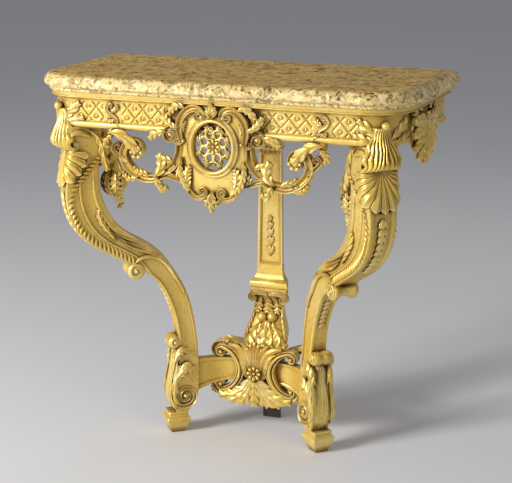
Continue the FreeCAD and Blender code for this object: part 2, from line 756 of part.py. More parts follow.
keep("right_stretcher", fuse("StretcherRail", rail_coped, rail_tenon))
mirror("left_stretcher", nodes["right_stretcher"])
leg_tenoned = fuse("LegTenoned", leg_body, head_tenon)
keep("right_leg", cut("LegMortised", leg_tenoned, nodes["right_stretcher"]))
mirror("left_leg", nodes["right_leg"])

hub_dims = ("hub_width", REAR_FACE + " - hub_front", "stretcher_height")
hub = box("Hub", hub_dims, ("-hub_width / 2", "hub_front", "stretcher_level - stretcher_height"))
keep("stretcher_hub", hub)


# Feet.
def tapered_block(name, low, high, base, height):
    """Square block that widens or narrows upwards, in the leg's turned plane."""
    obj = doc.addObject("Part::Wedge", name)
    bind(obj, Ymin=base, Ymax="%s + %s" % (base, height))
    bind(obj, Xmin="-%s / 2" % low, Xmax="%s / 2" % low, Zmin="-%s / 2" % low, Zmax="%s / 2" % low)
    bind(obj, X2min="-%s / 2" % high, X2max="%s / 2" % high)
    bind(obj, Z2min="-%s / 2" % high, Z2max="%s / 2" % high)
    return place(obj, LEG_AT, leg_turn.multiply(Rotation(Vector(1, 0, 0), 90)))


keep("right_toe", tapered_block("Toe", "toe_base", "toe_top", "0", "toe_height"))
mirror("left_toe", nodes["right_toe"])
block_waist = tapered_block("BlockWaist", "foot_block", "toe_top", "toe_height + foot_block_height / 2",
                            "foot_block_height / 2")
block_square = tapered_block("BlockSquare", "foot_block", "foot_block", "toe_height", "foot_block_height / 2")
keep("right_foot_block", fuse("FootBlock", block_square, block_waist))
mirror("left_foot_block", nodes["right_foot_block"])


# Shells: lofted through level sections whose outer edge is a row of flutes.
def shell(name, stations, flutes):
    """Fluted shell in the leg's plane; a station is (level, half width, reach, sag, flute depth, heel)."""
    wires = []
    for level, half, crown, sag, depth, back in stations:
        rim = []
        for k in range(flutes + 1):
            share = 2 * k / flutes - 1
            rim.append(Vector(crown - sag * share ** 2, half * share, level))
        edges = []
        for start, end in zip(rim, rim[1:]):
            swell = (start + end) * 0.5 + Vector(depth, 0, 0)
            edges.append(Part.Arc(start, swell, end).toShape())
        heels = [Vector(back, rim[-1].y * 0.6, level), Vector(back, rim[0].y * 0.6, level)]
        edges += [line(rim[-1], heels[0]), line(heels[0], heels[1]), line(heels[1], rim[0])]
        wires.append(Part.Wire(edges))
    obj = shaped(name, Part.makeLoft(wires, True))
    obj.Placement = Placement(foot_spot, leg_turn)
    return obj


flutes = int(mm("shell_flutes"))
flute_depth = mm("shell_flute_depth")
foot_of_rail = mm(FRIEZE_FOOT)
cap_reach, cap_half, cap_sag = mm("shell_cap_reach"), mm("shell_cap_width / 2"), mm("shell_cap_sag")
cap_low, cap_high = foot_of_rail - mm("shell_cap_drop"), foot_of_rail + mm("shell_cap_rise")
cap_levels = (
    cap_high,
    (cap_high + foot_of_rail) / 2,
    foot_of_rail,
    (foot_of_rail + cap_low) / 2,
    cap_low + mm("shell_cap_lip"),
    cap_low,
)

# Shares of half width, reach, sag and flute depth, from the top of the shell to its lip.
CAP = (
    (0.50, 0.40, 0.30, 0.35),
    (0.62, 0.42, 0.36, 0.65),
    (0.85, 0.62, 0.62, 0.85),
    (1.00, 1.00, 1.00, 1.00),
    (0.97, 0.92, 0.92, 0.85),
    (0.85, 0.50, 0.62, 0.50),
)
cap_stations = [
    (level, a * cap_half, head_out + b * cap_reach, c * cap_sag, d * flute_depth, head_face)
    for level, (a, b, c, d) in zip(cap_levels, CAP)
]
cap_raw = shell("ShellCapRaw", cap_stations, flutes)
keep("right_shell_cap", cut("ShellCap", cap_raw, nodes["right_corner_block"], nodes["right_leg"],
                            nodes["front_rail"], nodes["right_rail"], front_peg, side_peg))
mirror("left_shell_cap", nodes["right_shell_cap"])

# The hanging shell: shares of its length, half width, reach, sag and flute depth.
KNEE = (
    (0.00, 0.50, 0.67, 0.53, 0.25),
    (0.35, 0.82, 0.75, 0.80, 0.50),
    (0.75, 1.00, 0.96, 1.00, 0.67),
    (1.00, 0.70, 0.92, 0.67, 0.50),
)
knee_reach, knee_half, knee_sag = mm("knee_shell_reach"), mm("knee_shell_width / 2"), mm("knee_shell_sag")
knee_stations = []
for down, a, b, c, d in KNEE:
    level = cap_low - down * mm("knee_shell_length")
    face = leg_face_at(level)
    knee_stations.append((level, a * knee_half, face + b * knee_reach, c * knee_sag, d * flute_depth,
                          face - mm("knee_shell_seat")))
knee_raw = shell("KneeShellRaw", knee_stations, flutes)
keep("right_knee_shell", cut("KneeShell", knee_raw, nodes["right_leg"]))
mirror("left_knee_shell", nodes["right_knee_shell"])

# Leaf scroll behind the leg's head: shares of the head's depth from its inner edge, and of the height.
BRACKET_LINE = ((0.16, 0.945), (-0.21, 0.905), (-0.44, 0.860), (-0.52, 0.815), (-0.62, 0.780), (-0.56, 0.764))
bracket_path = [(head_back + a * head_depth, b * leg_height) for a, b in BRACKET_LINE]
hang = mm("bracket_thick")
pod_out, curl_out = head_back - 0.45 * head_depth, head_back - 0.48 * head_depth
bracket_face = join(
    ribbon(bracket_path, [hang * s for s in (0.55, 0.50, 0.45, 0.40, 0.22, 0.18)]),
    disc(pod_out, 0.817 * leg_height, hang * 0.72, hang * 0.80),
    disc(curl_out, 0.768 * leg_height, hang * 0.26),
    plate(head_back - 0.50 * head_depth, 0.93 * leg_height, head_back + 0.16 * head_depth, leg_height),
)
bracket_raw = extrude("BracketRaw", bracket_face, "bracket_thick", LEG_AT, leg_turn, symmetric=True)
keep("right_leg_bracket", cut("LegBracket", bracket_raw, nodes["right_leg"], nodes["right_corner_block"],
                              nodes["front_rail"], nodes["right_rail"]))
mirror("left_leg_bracket", nodes["right_leg_bracket"])

# Cartouche in the middle of the apron.
shield_half, rail_foot = mm("shield_width / 2"), mm(FRIEZE_FOOT)
shield_low, shield_high = rail_foot - mm("shield_drop"), rail_foot + mm("shield_rise")
SHIELD = ((0.52, 1.0), (0.80, 0.93), (0.93, 0.80), (1.0, 0.62), (1.0, 0.42), (0.93, 0.28), (0.76, 0.16),
          (0.50, 0.08), (0.22, 0.05), (0.0, 0.0))
shield_outline = [(a * shield_half, shield_low + b * (shield_high - shield_low)) for a, b in SHIELD]
shield_face = symmetric_outline(shield_outline).cut(oval).Faces[0]
SHIELD_FRONT = "(%s + shield_thick)" % FRONT
shield = extrude("Shield", shield_face, "shield_thick", ("0", "-" + SHIELD_FRONT, "0"))
keep("cartouche_shield", shield)
band = mm("oval_band")
oval_outer = disc(0, oval_level, mm("oval_width / 2") + band, mm("oval_height / 2") + band)
oval_ring = oval_outer.cut(oval).Faces[0]
RAISED = "-(%s + oval_thick)" % SHIELD_FRONT
keep("cartouche_oval", extrude("OvalFrame", oval_ring, "oval_thick", ("0", RAISED, "0")))

arms = int(mm("fret_arms"))
fret_x, fret_z = mm("oval_width / 2"), mm("oval_height / 2")
fret_faces = [disc(0, oval_level, fret_x * 0.26)]
for k in range(arms):
    turn = 2 * math.pi * k / arms
    arm = []
    for share, lean in ((0.15, 0.0), (0.45, 0.22), (0.75, 0.10), (1.06, -0.12)):
        swing = turn + lean
        arm.append((fret_x * share * math.cos(swing), oval_level + fret_z * share * math.sin(swing)))
    fret_faces.append(ribbon(arm, [fret_x * w for w in (0.07, 0.08, 0.09, 0.12)]))
    swing = turn + 0.36
    berry = (fret_x * 0.62 * math.cos(swing), oval_level + fret_z * 0.62 * math.sin(swing))
    fret_faces.append(disc(berry[0], berry[1], fret_x * 0.13))
fret_face = join(*fret_faces).common(oval).Faces[0]
keep("cartouche_fretwork", extrude("Fretwork", fret_face, "fret_thick", ("0", "-" + SHIELD_FRONT, "0")))

crest_high = rail_foot + mm("%s + cavetto_height - crest_clear" % GROUND_TOP)
crest_low = oval_level + mm("oval_height / 2 + oval_band")
crest_half = shield_half * 0.90
CREST = ((1.0, -0.90), (0.98, -0.10), (0.80, 0.55), (0.52, 0.72), (0.30, 0.42), (0.30, 0.10))
crest_rise = crest_high - crest_low
crest_path = [(a * crest_half, crest_low + b * crest_rise) for a, b in CREST]
crest_widths = [crest_rise * w for w in (0.16, 0.22, 0.26, 0.26, 0.22, 0.20)]
crest_faces = [disc(0, crest_low + crest_rise * 0.42, crest_half * 0.32, crest_rise * 0.58)]
for sign in (1, -1):
    crest_faces.append(ribbon([(sign * x, z) for x, z in crest_path], crest_widths))
crest_flat = join(*crest_faces).cut(oval_outer).Faces[0]
CREST_AT = "-(%s + crest_thick)" % SHIELD_FRONT
keep("cartouche_crest", extrude("Crest", crest_flat, "crest_thick", ("0", CREST_AT, "0")))

drop_high = oval_level - mm("oval_height / 2 + oval_band")
drop_length = drop_high - shield_low
drop_faces = [disc(0, drop_high - drop_length * 0.52, drop_length * 0.24, drop_length * 0.56)]
for lean in (-56, -30, 30, 56):
    swing = math.radians(lean)
    spot = (math.sin(swing) * drop_length * 0.50, drop_high - drop_length * (0.08 + 0.42 * math.cos(swing)))
    drop_faces.append(disc(spot[0], spot[1], drop_length * 0.17, drop_length * 0.40, lean))
drop_face = join(*drop_faces).cut(oval_outer).Faces[0]
keep("cartouche_drop", extrude("DropLeaf", drop_face, "crest_thick", ("0", CREST_AT, "0")))

# Pierced scrolls beside the cartouche, right hand; shares of their reach and of their drop.
far_x, fall = mm("apron_reach"), mm("apron_drop")


def apron(points):
    """Points of the pierced scrolls from shares of reach and drop; the reach starts at the shield."""
    return [(shield_half + a * (far_x - shield_half), rail_foot - b * fall) for a, b in points]


ring = apron([(0.121, 0.118), (0.171, 0.093), (0.199, 0.010), (0.183, -0.094), (0.121, -0.157),
              (0.048, -0.115), (0.012, 0.010), (0.006, 0.294), (0.087, 0.647), (0.260, 0.843)])
stem = apron([(0.00, 0.93), (0.12, 0.90), (0.29, 0.96), (0.47, 0.99), (0.62, 0.90), (0.735, 0.73),
              (0.78, 0.51), (0.735, 0.31), (0.64, 0.22), (0.55, 0.26), (0.50, 0.38), (0.54, 0.49)])
leaf_arm = apron([(0.98, 0.10), (0.86, 0.10), (0.745, 0.16), (0.65, 0.28), (0.585, 0.40)])
tail = apron([(0.95, 0.12), (0.94, 0.31), (0.875, 0.47), (0.77, 0.51)])
tab = apron([(0.89, 0.12), (1.0, 0.0)])
eye, ring_eye, tie = apron([(0.54, 0.49), (0.121, 0.039), (0.16, 0.80)])
ring_widths = (0.035, 0.04, 0.045, 0.045, 0.05, 0.055, 0.06, 0.075, 0.08, 0.06)
stem_widths = (0.05, 0.06, 0.07, 0.08, 0.08, 0.08, 0.07, 0.06, 0.05, 0.045, 0.04, 0.04)
apron_face = join(
    ribbon(ring, [fall * w for w in ring_widths]),
    ribbon(stem, [fall * w for w in stem_widths]),
    ribbon(leaf_arm, [fall * w for w in (0.05, 0.08, 0.10, 0.08, 0.05)]),
    ribbon(tail, [fall * w for w in (0.035, 0.045, 0.045, 0.035)]),
    disc(eye[0], eye[1], fall * 0.09),
    disc(ring_eye[0], ring_eye[1], fall * 0.06),
    disc(tie[0], tie[1], fall * 0.09, fall * 0.12),
    plate(tab[0][0], tab[0][1], tab[1][0], tab[1][1]),
)
apron_at = ("0", "-(%s) - bead_reach - apron_lap" % FRONT, "0")
apron_raw = extrude("ApronRaw", apron_face, "apron_thick", apron_at)
keep("right_apron_scroll", cut("ApronScroll", apron_raw, nodes["cartouche_shield"], nodes["front_rail"],
                               nodes["right_leg_bracket"]))
mirror("left_apron_scroll", nodes["right_apron_scroll"])

# Drops on the side rails: a shell of petals in a plane turned to the side.
drop_half, drop_foot = mm("pendant_width / 2"), mm("pendant_drop")
pendant_high = rail_foot + mm(GROUND_TOP)
pendant_span = pendant_high - rail_foot + drop_foot
petals = [disc(0, pendant_high - pendant_span * 0.30, drop_half * 0.70, pendant_span * 0.29)]
for k in range(-2, 3):
    lean = k * 32
    swing = math.radians(lean)
    spot = (math.sin(swing) * drop_half * 0.52, pendant_high - pendant_span * (0.28 + 0.33 * math.cos(swing)))
    petals.append(disc(spot[0], spot[1], drop_half * 0.27, pendant_span * 0.39, lean))
pendant_face = join(*petals)
pendant = extrude(
    "Pendant",
    pendant_face,
    "pendant_thick",
    (SIDE + " + pendant_thick", "pendant_place", "0"),
    Rotation(Vector(0, 0, 1), 90),
)
keep("right_side_pendant", pendant)
mirror("left_side_pendant", pendant)


# Rear support: blocks shaped from the front and from the side.
def two_way(name, half_outline, face_outline):
    """Solid with one outline seen from the front and one from the side, each from top to bottom."""
    front = extrude(name + "_front", symmetric_outline(half_outline), "top_depth", ("0", "0", "0"))
    back_plane = mm(BACK)
    face = [flat(-y, z) for y, z in face_outline]
    edges = [
        spline(face),
        line(face[-1], flat(-back_plane, face[-1].z)),
        line(flat(-back_plane, face[-1].z), flat(-back_plane, face[0].z)),
        line(flat(-back_plane, face[0].z), face[0]),
    ]
    side = extrude(name + "_side", Part.Face(Part.Wire(edges)), "top_width", ("-top_width / 2", "0", "0"),
                   Rotation(Vector(0, 0, 1), -90))
    return common(name, front, side)


rear_face = mm(REAR_FACE)
rear_body = new_body("RearFoot")
neck = "(rear_foot_height - rear_foot_round)"
rear_outline = [
    ("-rear_foot_width / 2", "0"),
    ("rear_foot_width / 2", "0"),
    ("rear_foot_width / 2", neck, "rear_foot_round", -1),
    ("rear_block_width / 2", "rear_foot_height"),
    ("-rear_block_width / 2", "rear_foot_height", "rear_foot_round", -1),
    ("-rear_foot_width / 2", neck),
]
pad(rear_body, draw(new_sketch(rear_body, "XZ_Plane"), rear_outline), "rear_foot_depth")
keep("rear_foot", place(rear_body, ("0", BACK, "0")))
rear_block = box("RearBlock", ("rear_block_width", "rear_depth", "rear_block_height"),
                 ("-rear_block_width / 2", REAR_FACE, "rear_foot_height"))
keep("rear_block", rear_block)

low, tall = mm("rear_foot_height + rear_block_height"), mm("rear_bracket_height")
swell = mm("rear_bracket_width / 2")
bulge = mm("rear_bulge")
BRACKET = ((0.88, 1.0), (0.93, 0.93), (0.80, 0.84), (0.68, 0.74), (0.76, 0.52), (1.0, 0.24), (0.97, 0.10),
           (0.82, 0.0))
LEAN = ((0.2, 1.0), (-0.3, 0.90), (-0.5, 0.74), (0.1, 0.52), (1.0, 0.22), (0.7, 0.08), (0.0, 0.0))
bracket = two_way(
    "RearBracket",
    [(a * swell, low + b * tall) for a, b in BRACKET],
    [(rear_face - a * bulge, low + b * tall) for a, b in LEAN],
)
keep("rear_bracket", bracket)

base, rise = low + tall, mm("plinth_height")
wide, slim = mm("plinth_width / 2"), mm("pilaster_base / 2")
shaft_face = mm(BACK) - mm("pilaster_depth")
FLARE = ((0.0, 1.0), (0.06, 0.75), (0.30, 0.48), (0.80, 0.32), (1.0, 0.22), (1.0, 0.0))
plinth = two_way(
    "RearPlinth",
    [(slim + a * (wide - slim), base + b * rise) for a, b in FLARE],
    [(shaft_face - a * (shaft_face - rear_face), base + b * rise) for a, b in FLARE],
)
keep("rear_plinth", plinth)

SHAFT_LOW = "(rear_foot_height + rear_block_height + rear_bracket_height + plinth_height)"
SHAFT_HIGH = "(%s - capital_height)" % FRIEZE_FOOT


def shaft(name, border, front, back):
    """Tapered upright, inside its own outline by a border."""
    obj = doc.addObject("Part::Wedge", name)
    bind(obj, Ymin="%s + %s" % (SHAFT_LOW, border), Ymax="%s - %s" % (SHAFT_HIGH, border))
    bind(obj, Xmin="%s - pilaster_base / 2" % border, Xmax="pilaster_base / 2 - %s" % border)
    bind(obj, X2min="%s - pilaster_top / 2" % border, X2max="pilaster_top / 2 - %s" % border)
    bind(obj, Zmin="-(%s)" % back, Zmax="-(%s)" % front, Z2min="-(%s)" % back, Z2max="-(%s)" % front)
    return place(obj, ("0", "0", "0"), Rotation(Vector(1, 0, 0), 90))


face_y = BACK + " - pilaster_depth"
upright_shaft = shaft("Shaft", "0", face_y, BACK)
sunk = shaft("ShaftPanel", "pilaster_border", face_y + " - pilaster_sink", face_y + " + pilaster_sink")
keep("rear_pilaster", cut("Pilaster", upright_shaft, sunk))

head_low, head_rise = mm(SHAFT_HIGH), mm("capital_height")
cap_wide, cap_slim = mm("capital_width / 2"), mm("pilaster_top / 2")
CAPITAL = ((1.0, 1.0), (1.0, 0.80), (0.72, 0.66), (0.30, 0.45), (0.10, 0.20), (0.30, 0.12), (0.25, 0.0))
capital = two_way(
    "RearCapital",
    [(cap_slim + a * (cap_wide - cap_slim), head_low + b * head_rise) for a, b in CAPITAL],
    [(shaft_face - a * (cap_wide - cap_slim) * 0.5, head_low + b * head_rise) for a, b in CAPITAL],
)
keep("rear_capital", capital)


# Leaves: lofted through lens sections whose back lies against the wood.
def leaf(name, stations):
    """Leaf whose stations are (depth of its back, level, half width, thickness)."""
    wires = []
    for depth, level, half, thick in stations:
        ends = [Vector(-half, depth, level), Vector(half, depth, level)]
        crown = Part.Arc(ends[0], Vector(0, depth - thick, level), ends[1]).toShape()
        wires.append(Part.Wire([crown, line(ends[1], ends[0])]))
    return shaped(name, Part.makeLoft(wires, True))


# Shares of the bracket's height and half width, and of the leaf's thickness.
LEAFED = ((0.90, 0.20, 0.10), (0.70, 0.50, 0.45), (0.45, 0.72, 0.75), (0.22, 0.75, 1.50), (0.06, 0.30, 1.20))
leaf_back, leaf_out = rear_face + bulge * 0.8, mm("rear_leaf_thick")
leaf_raw = leaf(
    "RearLeafRaw",
    [(leaf_back, low + a * tall, b * swell, bulge * 1.5 + c * leaf_out) for a, b, c in LEAFED],
)
keep("rear_leaf", cut("RearLeaf", leaf_raw, bracket))

ear = mm("ear_reach")
ear_high = mm("rear_foot_height + rear_block_height")
EAR = ((0.20, 0.90), (0.42, 1.0), (0.66, 1.02), (0.86, 0.97), (0.96, 0.88), (0.92, 0.80), (0.84, 0.83))
ear_path = [(a * ear, b * ear_high) for a, b in EAR]
ear_face = join(
    ribbon(ear_path, [ear * w for w in (0.060, 0.062, 0.058, 0.050, 0.044, 0.036, 0.030)]),
    disc(ear_path[-1][0], ear_path[-1][1], ear * 0.045),
)
ear_raw = extrude("EarRaw", ear_face, "ear_thick", ("0", BACK + " - (rear_depth + ear_thick) / 2", "0"))
keep("right_rear_ear", cut("RearEar", ear_raw, rear_block, bracket))
mirror("left_rear_ear", nodes["right_rear_ear"])

# Stretcher ornament in front of the hub.
scroll_half = mm("scroll_height / 2")
scroll_near, scroll_far = mm("scroll_gap"), mm("scroll_reach")
scroll_mid = mm("stretcher_level - stretcher_height / 2 + scroll_lift")
SCROLL = ((0.76, 0.62), (0.92, 0.72), (0.90, 0.92), (0.68, 0.95), (0.40, 0.75), (0.17, 0.38), (0.11, 0.0))
upper = [(scroll_near + a * (scroll_far - scroll_near), scroll_mid + b * scroll_half) for a, b in SCROLL]
lower = [(x, 2 * scroll_mid - z) for x, z in upper[:-1]]
scroll_path = upper + lower[::-1]
band_widths = [scroll_half * w for w in (0.06, 0.08, 0.10, 0.13, 0.16, 0.18, 0.18)]
scroll_face = join(
    ribbon(scroll_path, band_widths + band_widths[-2::-1]),
    disc(upper[0][0], upper[0][1], scroll_half * 0.13),
    disc(lower[0][0], lower[0][1], scroll_half * 0.13),
)
scroll_back = "hub_front + stretcher_thick / 2 - scroll_depth"
scroll_raw = extrude("ScrollRaw", scroll_face, "scroll_depth", ("0", scroll_back, "0"))
keep("right_stretcher_scroll", cut("StretcherScroll", scroll_raw, nodes["right_stretcher"]))
mirror("left_stretcher_scroll", nodes["right_stretcher_scroll"])

STANDING = ((0.0, 0.10, 0.40), (0.22, 0.66, 0.75), (0.40, 0.42, 0.80), (0.56, 0.50, 1.0), (0.72, 0.66, 0.90),
            (0.90, 1.0, 0.85), (1.0, 0.45, 0.50))
tip, leaf_rise = mm("leaf_tip"), mm("leaf_height")
leaf_half, leaf_deep, hub_face = mm("leaf_width / 2"), mm("leaf_thick"), mm("hub_front")
standing = leaf(
    "StandingLeaf",
    [(hub_face, tip + a * leaf_rise, b * leaf_half, c * leaf_deep) for a, b, c in STANDING],
)
keep("stretcher_leaf", standing)

fan_half = mm("fan_width / 2")
fan_top = hub_low
fan_fall = fan_top - tip
fan_faces = [plate(-mm("hub_width / 2") * 0.8, fan_top - fan_fall * 0.3, mm("hub_width / 2") * 0.8, fan_top)]
for k in range(-3, 4):
    swing = math.radians(k * 23)
    long_half = fan_fall * 0.5 / max(math.cos(swing), 0.62)
    spot = (math.sin(swing) * fan_half * 0.56, fan_top - fan_fall * 0.42 - fan_fall * 0.10 * math.cos(swing))
    fan_faces.append(disc(spot[0], spot[1], fan_half * 0.125, long_half, k * 23))
fan_face = join(*fan_faces)
fan_raw = extrude("FanRaw", fan_face.common(plate(-fan_half, 0, fan_half, fan_top)).Faces[0], "fan_thick",
                  ("0", "hub_front", "0"))
keep("stretcher_fan", cut("Fan", fan_raw, nodes["right_stretcher"], nodes["left_stretcher"],
                          nodes["right_stretcher_scroll"], nodes["left_stretcher_scroll"]))

flower = mm("rosette_width / 2")
flower_z = mm("rosette_level")
flower_faces = [disc(0, flower_z, flower * 0.62)]
for k in range(8):
    turn = math.radians(45 * k)
    petal = (flower * 0.66 * math.cos(turn), flower_z + flower * 0.66 * math.sin(turn))
    flower_faces.append(disc(petal[0], petal[1], flower * 0.34))
flower_at = ("0", "hub_front - leaf_thick - rosette_thick + rosette_seat", "0")
flower_raw = extrude("RosetteRaw", join(*flower_faces), "rosette_thick", flower_at)
keep("stretcher_rosette", cut("Rosette", flower_raw, standing))

doc.recompute()

# Checks, then one file for each sub-part.
faults = []
for obj in doc.Objects:
    if any(word in obj.State for word in ("Invalid", "Error")):
        faults.append("%s is %s" % (obj.Name, obj.State))
for label, obj in nodes.items():
    if obj.Shape.isNull() or not obj.Shape.isValid():
        faults.append("%s has no valid shape" % label)
if faults:
    raise RuntimeError("; ".join(faults))
os.makedirs("parts", exist_ok=True)
for label, obj in nodes.items():
    obj.Shape.exportStep("parts/%s.step" % label)
    bounds = obj.Shape.BoundBox
    print("%-24s %d solid(s) %9.0f mm3" % (label, len(obj.Shape.Solids), obj.Shape.Volume), bounds)
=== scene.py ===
"""Carved giltwood pier table with a breccia top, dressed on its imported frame."""

import json
import logging
import math
from dataclasses import dataclass, field
from enum import Enum
from typing import Any, Callable, Optional, Sequence

import bmesh
import bpy
import numpy as np
from mathutils import Matrix, Vector


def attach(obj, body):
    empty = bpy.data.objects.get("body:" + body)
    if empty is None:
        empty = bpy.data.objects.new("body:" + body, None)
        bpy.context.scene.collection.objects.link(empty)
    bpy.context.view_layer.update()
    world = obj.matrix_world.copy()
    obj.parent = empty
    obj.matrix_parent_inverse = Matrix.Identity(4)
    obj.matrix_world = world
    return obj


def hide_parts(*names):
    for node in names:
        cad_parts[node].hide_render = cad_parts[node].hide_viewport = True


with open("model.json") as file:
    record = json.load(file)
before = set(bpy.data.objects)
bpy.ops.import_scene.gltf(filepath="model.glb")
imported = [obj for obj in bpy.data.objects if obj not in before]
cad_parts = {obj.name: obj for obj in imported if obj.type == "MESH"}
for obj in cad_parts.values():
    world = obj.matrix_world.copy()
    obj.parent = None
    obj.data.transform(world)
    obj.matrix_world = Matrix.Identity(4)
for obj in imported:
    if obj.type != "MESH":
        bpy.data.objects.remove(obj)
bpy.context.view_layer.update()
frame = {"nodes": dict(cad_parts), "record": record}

LOG = logging.getLogger("pier_table")
MM = 0.001
Array = np.ndarray
Material = bpy.types.Material
Points = Sequence[Sequence[float]]
BODY = "root"
SIDES = (("right", 1), ("left", -1))
ROOM = (0, -1, 0)
FOLD = {"notch": 0.0, "fold": 0.1}
MOTIF_SHARP = 55.0


# Curves and small sums


def unit(vectors: Array) -> Array:
    """Scale vectors to length one."""
    return vectors / np.maximum(np.linalg.norm(vectors, axis=-1, keepdims=True), 1e-9)


def smooth(points: Points, count: int) -> Array:
    """Run a natural cubic spline through points.

    Args:
        points: Points that the line passes through, in two or three dimensions.
        count: How many points to read along the line.

    Returns:
        The points of the line, evenly spaced in its parameter.
    """
    p = np.asarray(points, float)
    if len(p) == 2:
        return np.linspace(p[0], p[1], count)
    step = np.sqrt(np.linalg.norm(np.diff(p, axis=0), axis=1))
    knots = np.concatenate([[0.0], np.cumsum(step)])
    n = len(p)
    matrix, right = np.eye(n), np.zeros_like(p)
    for i in range(1, n - 1):
        a, b = step[i - 1], step[i]
        matrix[i, i - 1 : i + 2] = a, 2 * (a + b), b
        right[i] = 6 * ((p[i + 1] - p[i]) / b - (p[i] - p[i - 1]) / a)
    bend = np.linalg.solve(matrix, right)
    at = np.linspace(0, knots[-1], count)
    k = np.clip(np.searchsorted(knots, at, side="right") - 1, 0, n - 2)
    gap = step[k][:, None]
    a = (knots[k + 1] - at)[:, None] / gap
    b = 1 - a
    return a * p[k] + b * p[k + 1] + ((a**3 - a) * bend[k] + (b**3 - b) * bend[k + 1]) * gap**2 / 6


def distances(path: Array) -> Array:
    """Return how far along a line each of its points lies."""
    return np.concatenate([[0.0], np.cumsum(np.linalg.norm(np.diff(path, axis=0), axis=1))])


def headings(path: Array) -> tuple[Array, Array]:
    """Return the directions along a flat line and to its left, at each of its points."""
    tangent = unit(np.gradient(path, axis=0))
    return tangent, np.stack([-tangent[:, 1], tangent[:, 0]], axis=1)


def circle(count: int) -> Array:
    """Return even points of a circle of radius one."""
    theta = np.linspace(0, 2 * np.pi, count, endpoint=False)
    return np.stack([np.cos(theta), np.sin(theta)], axis=1)


def mirrored(points: Points, hand: int) -> list:
    """Return flat points as they are for 1, or mirrored for -1."""
    return [(hand * x, z) for x, z in points]


def whole(half: Points) -> Array:
    """Complete a row of across and lift pairs that ends at its middle."""
    half = np.array(half, float)
    return np.concatenate([half, half[-2::-1] * np.array([-1, 1])])


def even(path: Array, count: int) -> Array:
    """Read a line again at even distances."""
    run = distances(path)
    at = np.linspace(0, run[-1], count)
    return np.stack([np.interp(at, run, path[:, i]) for i in range(path.shape[1])], axis=1)


def along(values: Sequence[float], count: int) -> Array:
    """Spread a few values evenly and smoothly over many points."""
    x = np.linspace(0, 1, len(values))
    fine = np.interp(np.linspace(0, 1, count), x, values)
    if count > 12:
        kernel = np.ones(7) / 7
        padded = np.concatenate([[fine[0]] * 3, fine, [fine[-1]] * 3])
        fine = np.convolve(padded, kernel, "valid")
    return fine


def curl(end: Array, heading: Array, radius: float, inner: float, sweep: float, sense: int,
         count: int = 40) -> Array:
    """Wind a line up into a volute.

    Args:
        end: Point where the volute starts.
        heading: Direction of the line there.
        radius: Radius of the first turn.
        inner: Radius at the eye.
        sweep: Angle to wind through, in degrees.
        sense: 1 to wind to the left, -1 to wind to the right.
        count: Points of the volute.

    Returns:
        The points of the volute after its start.
    """
    heading = unit(np.asarray(heading, float))
    side = sense * np.array([-heading[1], heading[0]])
    centre = np.asarray(end, float) + side * radius
    k = np.linspace(0, 1, count)[1:]
    angle = sense * math.radians(sweep) * k
    r = radius + (inner - radius) * k**0.85
    c, s = np.cos(angle), np.sin(angle)
    spoke = -side
    turned = np.stack([c * spoke[0] - s * spoke[1], s * spoke[0] + c * spoke[1]], axis=1)
    return centre + turned * r[:, None]


def scroll_line(points: Points, first: Optional[tuple] = None, last: Optional[tuple] = None,
                count: int = 120) -> Array:
    """Draw a scroll: a smooth line that may wind up at either end.

    Args:
        points: Points of the open part.
        first: Radius, inner radius, sweep and sense of the volute at the start, or None.
        last: The same at the end, or None.
        count: Points of the whole line.

    Returns:
        The points of the scroll at even distances.
    """
    line = smooth(points, 80)
    parts = [line]
    if first:
        parts.insert(0, curl(line[0], line[0] - line[1], *first)[::-1])
    if last:
        parts.append(curl(line[-1], line[-1] - line[-2], *last))
    return even(np.concatenate(parts), count)


# Sections of the carver's bands, up to their middle: across from -1 to 0, lift from -1 (back) to 1 (crest)


class Section(Enum):
    """Shapes that a carved band is cut to."""

    FILLETED = ((-1, -1), (-1, 0.45), (-0.93, 0.8), (-0.78, 1.0), (-0.6, 0.92), (-0.46, 0.55), (-0.2, 0.36),
                (0, 0.32))
    REEDED = ((-1, -1), (-1, 0.3), (-0.86, 0.7), (-0.68, 0.7), (-0.54, 0.26), (-0.42, 0.72), (-0.22, 0.97),
              (0, 1.0))
    ROUND = ((-1, -1), (-1, 0.1), (-0.9, 0.45), (-0.7, 0.75), (-0.4, 0.95), (0, 1.0))

    @property
    def shape(self) -> Array:
        """Return the points of the whole section."""
        return whole(self.value)


@dataclass(frozen=True)
class Board:
    """A plane that carving lies on, in millimetres: its origin, two directions in it and the way it faces."""

    origin: tuple
    right: tuple
    up: tuple
    out: tuple

    def at(self, flat: Array, lift: Any = 0.0) -> Array:
        """Place flat points on the board.

        Args:
            flat: Points in the board's own two directions, last axis two long.
            lift: Height of each point over the board.

        Returns:
            The points in space.
        """
        flat = np.asarray(flat, float)
        lift = np.broadcast_to(np.asarray(lift, float), flat.shape[:-1])
        o, r, u, n = (np.array(v, float) for v in (self.origin, self.right, self.up, self.out))
        return o + flat[..., :1] * r + flat[..., 1:2] * u + lift[..., None] * n

    def moved(self, lift: float) -> "Board":
        """Return a board in front of this one."""
        o = np.array(self.origin, float) + np.array(self.out, float) * lift
        return Board(tuple(o), self.right, self.up, self.out)


def facing_room(depth: float) -> Board:
    """Return the upright board at a depth that faces the room."""
    return Board((0, depth, 0), (1, 0, 0), (0, 0, 1), ROOM)


